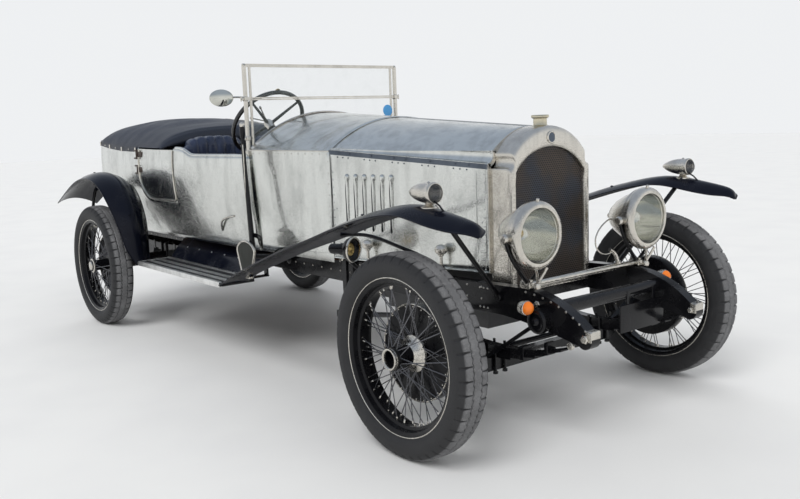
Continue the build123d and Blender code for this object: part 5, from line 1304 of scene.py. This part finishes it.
def make_steering_wheel():
    """Steering wheel: rim with finger grips, four tapered spokes, a boss with two levers, and the shaft."""
    middle = np.array([1415.0, -280.0, 1285.0])
    rake = math.radians(38.0)
    down = np.array([math.cos(rake), 0.0, -math.sin(rake)])
    high = np.array([math.sin(rake), 0.0, math.cos(rake)])

    def out(angle):
        """Directions from the middle of the wheel, in its plane."""
        return np.cos(angle)[..., None] * leftward + np.sin(angle)[..., None] * high

    around, across, rim_radius = 288, 14, 212
    turn = np.linspace(0, 2 * np.pi, around, endpoint=False)[:, None]
    angle = np.linspace(0, 2 * np.pi, across, endpoint=False)[None, :]
    bump = 0.9 * np.clip(np.sin(turn * 40), 0, 1) * (np.cos(angle) < 0)
    reach = rim_radius + (11.5 + bump) * np.cos(angle)
    lift = 12.5 * np.sin(angle) + 0 * turn
    rim = middle + reach[..., None] * out(turn) + lift[..., None] * down
    rim = np.concatenate([rim, rim[:1]])
    parts = [(rim.reshape(-1, 3), grid_faces(around + 1, across, True))]
    share = np.linspace(0, 1, 12)[:, None]
    for spoke in out(np.radians([45, 135, 225, 315])):
        path = middle + down * (10 - 10 * share) + spoke * (20 + 186 * share)
        parts.append(tube(path, np.linspace(9.5, 6.5, 12), 10, down))
    bright = [turned([(-16, 0), (-16, 18), (-12, 24), (-4, 27), (16, 30), (30, 26), (50, 25), (50, 0)],
                     middle, down, 32)]
    bright.append(turned([(-24, 0), (-24, 12), (-16, 16), (-14, 0)], middle, down, 24))
    knob = [(-9, 0), (-7, 6), (0, 8), (7, 6), (9, 0)]
    for lever, length in zip(out(np.array([2.2, 2.9])), (120, 110)):
        bright.append(tube([middle - down * 20 + lever * s for s in (6, 60, length)], 3.6, 8, down))
        bright.append(turned(knob, middle - down * 20 + lever * length, lever, 12))
    bright.append(turned(bar_profile(9, 1010, 50), middle, down, 16))
    tab = middle + high * rim_radius - down * 12
    brass_tab = turned([(-3, 0), (-3, 15), (2, 15), (5, 12), (5, 0)], tab, -down, 20)
    place_all("steering_rim", gather(*parts), rim_black, ["steering_wheel"], body="steering")
    place_all("steering_boss", gather(*bright), nickel, body="steering")
    place_all("steering_marker", brass_tab, brass, body="steering")


def make_handbrake():
    """Outside lever: a tapered blade on a bent foot, a grip with a button, a rod and a toothed quadrant."""
    lever_y = 582
    lean = (0.03, 0, 1)
    line = through([(ahead, -lever_y, z) for ahead, z in
                    ((1705, 585), (1693, 760), (1676, 960), (1667, 1100), (1665, 1216))], 40)
    blade = tube(line, np.linspace(15, 10.5, 40), 12)
    stem = turned([(0, 0), (0, 11), (4, 13), (52, 14), (60, 12), (62, 0)], (1665, -lever_y, 1212), lean, 20)
    button = turned([(0, 0), (0, 12), (4, 14), (14, 14), (20, 11), (24, 0)], (1666.8, -lever_y, 1272), lean,
                    20)
    rod = tube([(1690, -590, 640), (1680, -592, 900), (1676, -590, 1180)], 3.0, 8)
    foot = [turned([(0, 0), (0, 24), (16, 24), (20, 18), (24, 0)], (1710, -355.3, 550), -leftward, 24),
            tube([(1710, -370, 556), (1708, -470, 578), (1705, -lever_y, 592)], 14, 14)]
    angle = np.linspace(-0.55, 0.55, 45)
    reach = 120 + 3.0 * (np.arange(45) % 2)
    arcs = [np.column_stack([1710 + r * np.sin(angle), np.full(45, -571.0), 592 + r * np.cos(angle)])
            for r in (reach, 104, 100)]
    quadrant = wall(np.stack(arcs), 6.0)
    place_all("brake_lever_blade", gather(blade, stem, quadrant, *foot), chassis, ["handbrake_lever"])
    place_all("brake_lever_grip", gather(button, rod), nickel)


# Seats and cover

def settle(piece):
    """Works a piece's modifiers into its mesh and gives the points of the result."""
    seen = piece.evaluated_get(bpy.context.evaluated_depsgraph_get())
    mesh = bpy.data.meshes.new_from_object(seen)
    mesh.name = piece.name
    piece.modifiers.clear()
    piece.data = mesh
    return read_vertices(mesh, "co")


def read_vertices(mesh, what):
    """A mesh's points, or the directions that they face, as an array."""
    values = np.empty(len(mesh.vertices) * 3, np.float32)
    mesh.vertices.foreach_get(what, values)
    return values.reshape(-1, 3).astype(float)


def write_points(mesh, points):
    """Moves a mesh's points to the given ones."""
    mesh.vertices.foreach_set("co", points.ravel().astype(np.float32))
    mesh.update()


def stuffed(name, low, high, radius, pleats, stands_for=()):
    """Cushion: a smaller block remeshed fine, blown up as cloth with its travel capped, and pleated.

    Pleats are grooves between the side borders: along y, depth times one minus the size of the sine,
    squared. A further groove runs along each border, and the top falls away towards both sides."""
    low, high = np.asarray(low, float), np.asarray(high, float)
    inset = 11.0
    piece = place_all(name, brick(low + inset, high - inset, radius), hide, stands_for)
    even = piece.modifiers.new("even", "REMESH")
    even.mode, even.voxel_size = "VOXEL", 0.0095
    start = settle(piece)
    points = start.copy()
    filling = piece.modifiers.new("filling", "CLOTH")
    filling.settings.use_pressure = True
    filling.settings.uniform_pressure_force = 4.0
    filling.settings.effector_weights.gravity = 0.0
    for moment in range(1, 21):
        bpy.context.scene.frame_set(moment)
    points = settle(piece)
    travel = points - start
    size = np.linalg.norm(travel, axis=1, keepdims=True)
    points = start + travel * np.minimum(1.0, 0.010 / np.maximum(size, 1e-9))
    write_points(piece.data, points)
    normals = read_vertices(piece.data, "normal")
    _, y, z = points.T
    lo, hi = (low + (rear_axle_x, 0, 0)) / 1000, (high + (rear_axle_x, 0, 0)) / 1000
    middle, half = (lo + hi) / 2, (hi - lo) / 2
    pitch, border = pleats
    across = np.abs(y - middle[1])
    inside = np.clip((half[1] - border - across) / 0.006, 0, 1)
    groove = (1 - np.abs(np.sin(np.pi * (y - middle[1]) / pitch))) ** 2
    edge = np.exp(-((across - (half[1] - border)) / 0.005) ** 2)
    crown = 0.006 * np.clip(1 - (across / half[1]) ** 2, 0, 1)
    upper = np.clip((z - middle[2]) / half[2], 0, 1)
    points[:, 2] -= 0.075 * (across / half[1]) ** 4 * upper
    depth = crown + 0.003 - 0.014 * groove * inside - 0.007 * edge
    points += normals * depth[:, None]
    points = np.clip(points, lo - 0.004, hi + 0.010)
    write_points(piece.data, points)
    piece.data.polygons.foreach_set("use_smooth", np.ones(len(piece.data.polygons), bool))
    round_off = piece.modifiers.new("round_off", "SUBSURF")
    round_off.levels = round_off.render_levels = 1


def make_seats():
    """Two pleated front seats and the rear bench, each a cushion and a back, in blue-black hide."""
    # Each pair is the pleats' pitch and the border beside them, in metres
    floor_top, front_pleats, rear_pleats = 640.3, (0.062, 0.035), (0.056, 0.05)
    for name, side in (("left", 1), ("right", -1)):
        near, far = sorted((side * 22, side * 468))
        stuffed(f"seat_cushion_{name}", (700, near, floor_top), (1180, far, 860), 30, front_pleats, ["seats"])
        stuffed(f"seat_back_{name}", (582, near, floor_top), (699.7, far, 1236), 34, front_pleats)
    stuffed("bench_cushion", (-158, -448, floor_top), (258, 448, 880), 30, rear_pleats)
    stuffed("bench_back", (-268, -448, floor_top), (-160.3, 448, 1120), 30, rear_pleats)


# Columns: ahead, half width, height of the edge and of the crown
cover_rows = [(-632, 478, 1212, 1256), (-622, 496, 1211, 1282), (-600, 516, 1210, 1306),
              (-540, 534, 1205, 1331), (-440, 542, 1193, 1344), (-340, 546, 1185, 1348),
              (-210, 552, 1174, 1348), (-80, 555, 1168, 1346), (80, 558, 1164, 1338),
              (240, 560, 1160, 1324), (380, 562, 1158, 1304), (486, 563, 1157, 1286),
              (520, 562, 1156, 1262), (534, 561, 1155, 1225), (540, 560, 1154, 1190)]


def beside(ahead, lift, side, out):
    """Points off the tub's side at a lift from its top edge, drawn in round the tail's corners."""
    reach = np.clip((tail_ahead + tail_corner - ahead) / tail_corner, 0, 1)
    inset = tail_corner * (1 - np.sqrt(1 - reach**2))
    z = coaming(ahead) + lift
    return np.stack([ahead, side * (tub_half(ahead, z) + out - inset), z], -1)


def cover_edges(grid):
    """The cover's hem, folded over the tub's top edge all round, and the studs and tabs that hold it."""
    hem, studs = [], []
    button = lathe([(-2, 0), (-2, 6), (1, 6), (3, 4), (4, 0)], 10)
    tab = brick((-2, -9, -15), (2.5, 9, 14), 2)
    spots = np.array([-561.0, -443.0, -325.0, -195.0, -65.0, 67.0, 190.0])
    seam_end, back_face = 208, -641.2
    for column, side in ((0, -1), (-1, 1)):
        line = grid[:, column]
        x = line[:, 0]
        # Outside the tub behind the door, and just over its top edge along the door
        folds = [np.where((x < seam_end)[:, None], beside(x, drop, side, out), beside(x, lift, side, inward))
                 for drop, out, lift, inward in ((4, 3.0, 4, -8.0), (-10, 4.5, 3, -4.0),
                                                 (-26, 4.5, 1.5, -1.0))]
        band = np.stack([line, *folds])
        hem.append(wall(band if side > 0 else band[::-1], 2.0))
        hem.append(tube(folds[-1][x < 200], 2.2, 6))
        studs.append(stud(tab, beside(spots[::2], -14, side, 8.0), side * leftward))
        studs.append(stud(button, beside(spots[1::2], -14, side, 6.5), side * leftward))
    rear = grid[0]
    hanging = [rear * leftward + (back_face, 0, z) for z in (1208, 1184)]
    band = np.stack([rear, rear + (-7.0, 0, -5.0), *hanging])
    hem.append(wall(band, 2.0))
    across = np.linspace(-400, 400, 8)[:, None] * leftward
    studs.append(stud(button, across + (-638.5, 0, 1195.0), -forward))
    return hem, studs


def make_cover():
    """Cover over the rear seats: a thin sheet stretched on hoops, with a hem, studs and a zip.

    Height across falls from the crown by shares of the 2.6th and the 9th power of the part of the half
    width, less a sag of the squared sine between hoops, and fine folds run up from the studs."""
    rows, columns = 150, 121
    ahead = np.linspace(cover_rows[0][0], cover_rows[-1][0], rows)
    table = np.asarray(cover_rows, float)
    half, edge, crown = [np.interp(ahead, table[:, 0], table[:, k])[:, None] for k in (1, 2, 3)]
    share = np.sin(np.linspace(-np.pi / 2, np.pi / 2, columns))[None, :]
    x, y = ahead[:, None] + 0 * share, half * share
    rise = 1 - 0.72 * np.abs(share) ** 2.6 - 0.28 * np.abs(share) ** 9
    z = edge + (crown - edge) * rise
    middle = np.cos(share * np.pi / 2)
    z = z - 5.0 * middle * (np.sin((x + 560) / 240 * np.pi) ** 2) * (x < 420)
    folds = np.sin(x / 24 + 1.4 * np.sin(y / 90)) * np.abs(share) ** 3 * (1 - np.abs(share) ** 12)
    creases = np.sin((x * 0.8 + y * 0.6) / 70 + 2.2 * np.sin(x / 160)) * middle**0.5
    z = z + 2.2 * folds + 1.6 * creases * (rise > 0.2)
    grid = np.stack([x, y, z], -1)
    sheet = place_all("rear_cover", sheet_of(grid), cover_cloth, ["tonneau_cover"])
    face_outward(sheet.data)
    thick = sheet.modifiers.new("thickness", "SOLIDIFY")
    thick.thickness, thick.offset = 0.0022, -1.0
    hem, studs = cover_edges(grid)
    zip_line = np.array([grid[i, 76] for i in range(40, rows - 10, 2)]) + (0, 0, 1.6)
    teeth = tube(zip_line, 2.4 + 1.2 * (np.arange(len(zip_line)) % 2), 6)
    fold = tube(grid[44:-12:2, 82] + upward, 4.5, 8)
    hemmed = place_all("cover_hem", gather(*hem, fold), cover_cloth)
    buttons = place_all("cover_studs", gather(*studs), nickel)
    zipped = place_all("cover_zip", teeth, nickel)


# Chassis

def make_chassis():
    """Rivets along the rails and irons, spring clips with their U bolts, and the front damper covers."""
    rivet = lathe([(-1, 0), (-1, 5), (1, 5), (3, 3.2), (3.8, 0)], 8)
    rail_side = 355.0
    run = np.arange(-540, 3240, 85.0)[:, None] * forward
    rows = np.concatenate([run + (0, rail_side, z) for z in (588.0, 540.0)])
    # The dumb iron's rivets lie on the curve whose two ends and corner are these
    share = np.linspace(0.06, 0.94, 9)[:, None]
    root, bend, tip = np.array([[3421, 355, 600.0], [3640, 355, 590.0], [3752, 355, 478.0]])
    iron = (1 - share) ** 2 * root + 2 * share * (1 - share) * bend + share**2 * tip
    front = np.array([(3214.0 + dx, rail_side, z) for dx in (-22, 0, 22) for z in (585.0, 505.0)])
    bolts = gather(stud(rivet, np.concatenate([rows, iron, front]), leftward))
    clips = []
    # Columns: the spring's middle, its underside there, its rise at 440 mm to either side
    for centre, low, rise in ((wheelbase, 305.0, 120.0), (0.0, 437.0, 62.0)):
        for offset in (-300, -170, 170, 300):
            lift = rise * (offset / 440.0) ** 2
            width, drop = (13, 6) if abs(offset) < 200 else (9, -10)
            clips.append(brick((centre + offset - width, 305, low + lift - drop),
                               (centre + offset + width, 355, low + lift + 52), 3))
    for dx in (-30, 30):
        for y in (303, 357):
            clips.append(turned(bar_profile(6, 128), (wheelbase + dx, y, 236), upward, 10))
            clips.append(turned(bar_profile(11, 10), (wheelbase + dx, y, 236), upward, 6))
            clips.append(turned(bar_profile(6, 150), (dx * 1.2, y, 345), upward, 10))
    cover = [(-3, 0), (-3, 45), (0, 47), (4, 46.5), (8, 43), (10, 35), (8, 30), (8, 17), (12, 15), (16, 12),
             (20, 8), (20, 0)]
    damper = np.array([3545.0, 401.0, 505.0])
    arms = 8
    spoke = np.linspace(0, 2 * np.pi, arms, endpoint=False)
    rays = stud(brick((14, -3.4, -3), (42, 3.4, 9), 2), np.tile(damper + (0, 4, 0), (arms, 1)),
                np.column_stack([np.cos(spoke), 0 * spoke, np.sin(spoke)]))
    pins, pin_circle = 32, 47
    turn = np.linspace(0, 2 * np.pi, pins, endpoint=False)
    rim = np.column_stack([pin_circle * np.cos(turn), np.full(pins, -12.0),
                           pin_circle * np.sin(turn)]) + damper
    grips = stud(lathe(bar_profile(2.4, 12, -12), 6), rim, leftward)
    covers = gather(turned(cover, damper, leftward, 40), rays, grips)
    arm_nut = turned([(0, 0), (0, 15), (10, 15), (12, 10), (18, 10), (18, 0)], (3252, 356, 312), leftward, 6)
    place_all("chassis_rivets", both(bolts), rivet_steel)
    place_all("spring_clips", both(gather(*clips, arm_nut)), chassis)
    place_all("damper_covers", both(covers), chassis)


def make_front_end():
    """Bright tips and bolts on the dumb irons, a blank plate between them, and the steering joints' caps."""
    tips = [brick((3738, 303, 448), (3768.5, 357, 492), 4)]
    tip_bolt = [(0, 0), (0, 17), (9, 17), (12, 12), (17, 12), (17, 0)]
    tips.append(turned(tip_bolt, (3741, 355, 462), leftward, 6))
    tips.append(turned([(0, 0), (0, 15), (8, 15), (11, 10), (11, 0)], (3671, 352, 424), leftward, 24))
    tips.append(turned([(0, 0), (0, 12), (6, 12), (9, 8), (9, 0)], (3741, 305, 462), -leftward, 6))
    place_all("iron_tips", both(gather(*tips)), nickel)
    plate = brick((3596, 30, 388), (3602, 320, 500), 3)
    straps = [brick((3590, y - 12, 470), (3597, y + 12, 556), 2) for y in (90, 260)]
    place_all("blank_plate", gather(plate, *straps), chassis)
    ball = [(-20, 0), (-20, 11), (-14, 14), (8, 15), (16, 12), (20, 0)]
    for body, spots in (("track_rod", [(3095, -640, 257), (3095, 640, 257)]),
                        ("drag_link", [(3245, -490, 500)])):
        direction = -upward if body == "track_rod" else upward
        caps = gather(*[turned(ball, spot, direction, 16) for spot in spots])
        place_all(f"{body}_caps", caps, nickel, body=body)
    nut = [(0, 0), (0, 15), (12, 15), (14, 9), (22, 9), (22, 0)]
    place_all("drop_arm_nut", turned(nut, (2270, -395, 619), -leftward, 6), nickel, body="drop_arm")


def make_wing_irons():
    """Wing irons: an arched and a straight stay to each front wing, one to each rear wing, and their pads."""
    arched = through([(3010, 366, 560), (3006, 470, 690), (2969, 575, 752), (2883, 600, 778),
                      (2780, 640, 800), (2690, 690, 795)], 60)
    front = [(3300, 355, 560), (3395, 760, 962)]
    rear = through([(-430, 355, 565), (-430, 600, 566), (-430, 645, 600), (-430, 650, 880)], 40)
    pads = [turned([(0, 0), (0, 18), (9, 18), (12, 15), (12, 0)], place, leftward, 24)
            for place in ((3010, 355, 560), (3300, 355, 560), (-430, 355, 565))]
    stays = gather(tube(arched, 8.0, 12), tube(front, 10.0, 12), tube(rear, 11.0, 12, forward), *pads)
    place_all("wing_irons", both(stays), chassis, ["wing_stays"])


def make_catches():
    """Bonnet catches: sprung barrels between a hook under the bonnet's edge and an eye on the chassis."""
    catches = []
    # Columns: station, place across, height of the barrel's foot and of the eye at its top
    for ahead, y, low, high in ((2510, -420, 645, 727), (2934, -338, 650, 732)):
        catches.append(turned([(0, 0), (0, 7), (34, 7), (38, 13), (44, 13), (46, 19), (54, 26), (64, 28),
                               (74, 26), (83, 18), (87, 8), (88, 0)],
                              (ahead, y, low), upward, 28))
        catches.append(tube(through([(ahead, y, low + 4), (ahead, y + 12, low - 16),
                                     (ahead, y + 36, low - 44), (ahead, -352, 596)], 16), 5, 10))
        catches.append(brick((ahead - 14, -356, 585), (ahead + 14, -340, 606), 3))
        catches.append(tube([(ahead, y, high - 8), (ahead, y + 18, high - 4),
                                      (ahead, y + 30, high - 10)], 3.5, 8))
    place_all("bonnet_catches", both(gather(*catches)), nickel)


# Light and floor

def make_floor():
    """Pale floor with faint clouds in its tone."""
    steps = np.array([-40.0, 40.0])
    x, y = np.meshgrid(steps, steps, indexing="ij")
    mesh = bpy.data.meshes.new("floor")
    mesh.from_pydata([(a, b, 0.0) for a, b in zip(x.ravel(), y.ravel())], [], [(0, 2, 3, 1)])
    floor = bpy.data.objects.new("floor", mesh)
    bpy.context.collection.objects.link(floor)
    ground = Finish("pale_floor", (0.80, 0.80, 0.79), 0.75)
    ground.feed(Base_Color=ground.mix(ground.noise(2.0, 2.0).step(0.3, 0.8), (0.80, 0.80, 0.79),
                                      (0.77, 0.77, 0.765)))
    mesh.materials.append(ground.material)


def make_sky():
    """Pale sky, brighter round the horizon, that shows in reflections and lights the car softly."""
    world = bpy.data.worlds.new("studio")
    bpy.context.scene.world = world
    world.use_nodes = True
    tree = world.node_tree

    def node(kind, **settings):
        made = tree.nodes.new(kind)
        for key, value in settings.items():
            setattr(made, key, value)
        return made

    # Pale round the horizon, darker overhead; a lower strength lights the car softly
    place, height = node("ShaderNodeTexCoord"), node("ShaderNodeSeparateXYZ")
    tree.links.new(place.outputs["Generated"], height.inputs[0])
    fade = node("ShaderNodeMapRange", interpolation_type="SMOOTHSTEP")
    fade.inputs[1].default_value, fade.inputs[2].default_value = 0.10, 0.70
    tree.links.new(height.outputs["Z"], fade.inputs[0])
    blend = node("ShaderNodeMix", data_type="RGBA")
    colour_a, colour_b = [s for s in blend.inputs if s.type == "RGBA"]
    colour_a.default_value, colour_b.default_value = (0.86, 0.875, 0.89, 1.0), (0.40, 0.46, 0.56, 1.0)
    tree.links.new(fade.outputs[0], blend.inputs[0])
    result = next(s for s in blend.outputs if s.type == "RGBA")
    sky, soft = tree.nodes["Background"], node("ShaderNodeBackground")
    soft.inputs["Color"].default_value = (0.95, 0.97, 1.0, 1.0)
    soft.inputs["Strength"].default_value = 0.42
    tree.links.new(result, sky.inputs["Color"])
    path, seen = node("ShaderNodeLightPath"), None
    for name in ("Is Camera Ray", "Is Glossy Ray", "Is Transmission Ray"):
        if seen is None:
            seen = path.outputs[name]
            continue
        either = node("ShaderNodeMath", operation="MAXIMUM")
        tree.links.new(seen, either.inputs[0])
        tree.links.new(path.outputs[name], either.inputs[1])
        seen = either.outputs[0]
    share = node("ShaderNodeMixShader")
    tree.links.new(seen, share.inputs[0])
    tree.links.new(soft.outputs[0], share.inputs[1])
    tree.links.new(sky.outputs[0], share.inputs[2])
    tree.links.new(share.outputs[0], tree.nodes["World Output"].inputs[0])


def make_lights():
    """Three large soft lamps, which don't show in reflections."""
    # Columns: name, place, angle in degrees, strength
    lamps = [
        ("key_lamp", (3.0, -6.5, 7.5), 35.0, 2.0), ("front_lamp", (8.0, 1.0, 4.5), 50.0, 0.7),
        ("rear_lamp", (-7.0, 4.0, 6.0), 50.0, 0.7)]
    for name, place, angle, strength in lamps:
        data = bpy.data.lights.new(name, "SUN")
        data.angle, data.energy = math.radians(angle), strength
        lamp = bpy.data.objects.new(name, data)
        bpy.context.collection.objects.link(lamp)
        lamp.location = place
        lamp.rotation_euler = (-Vector(place)).to_track_quat("-Z", "Y").to_euler()
        lamp.visible_glossy = False


make_camera()
make_floor()
make_sky()
make_lights()
make_wheels()
make_wings()
make_body()
make_scuttle()
make_bonnet()
make_radiator()
make_headlamps()
make_side_lamps()
make_lamp_bar()
make_boards()
make_step_frame()
make_screen()
make_steering_wheel()
make_handbrake()
make_chassis()
make_front_end()
make_wing_irons()
make_catches()
make_seats()
make_cover()
bpy.context.scene.view_settings.view_transform = "Standard"
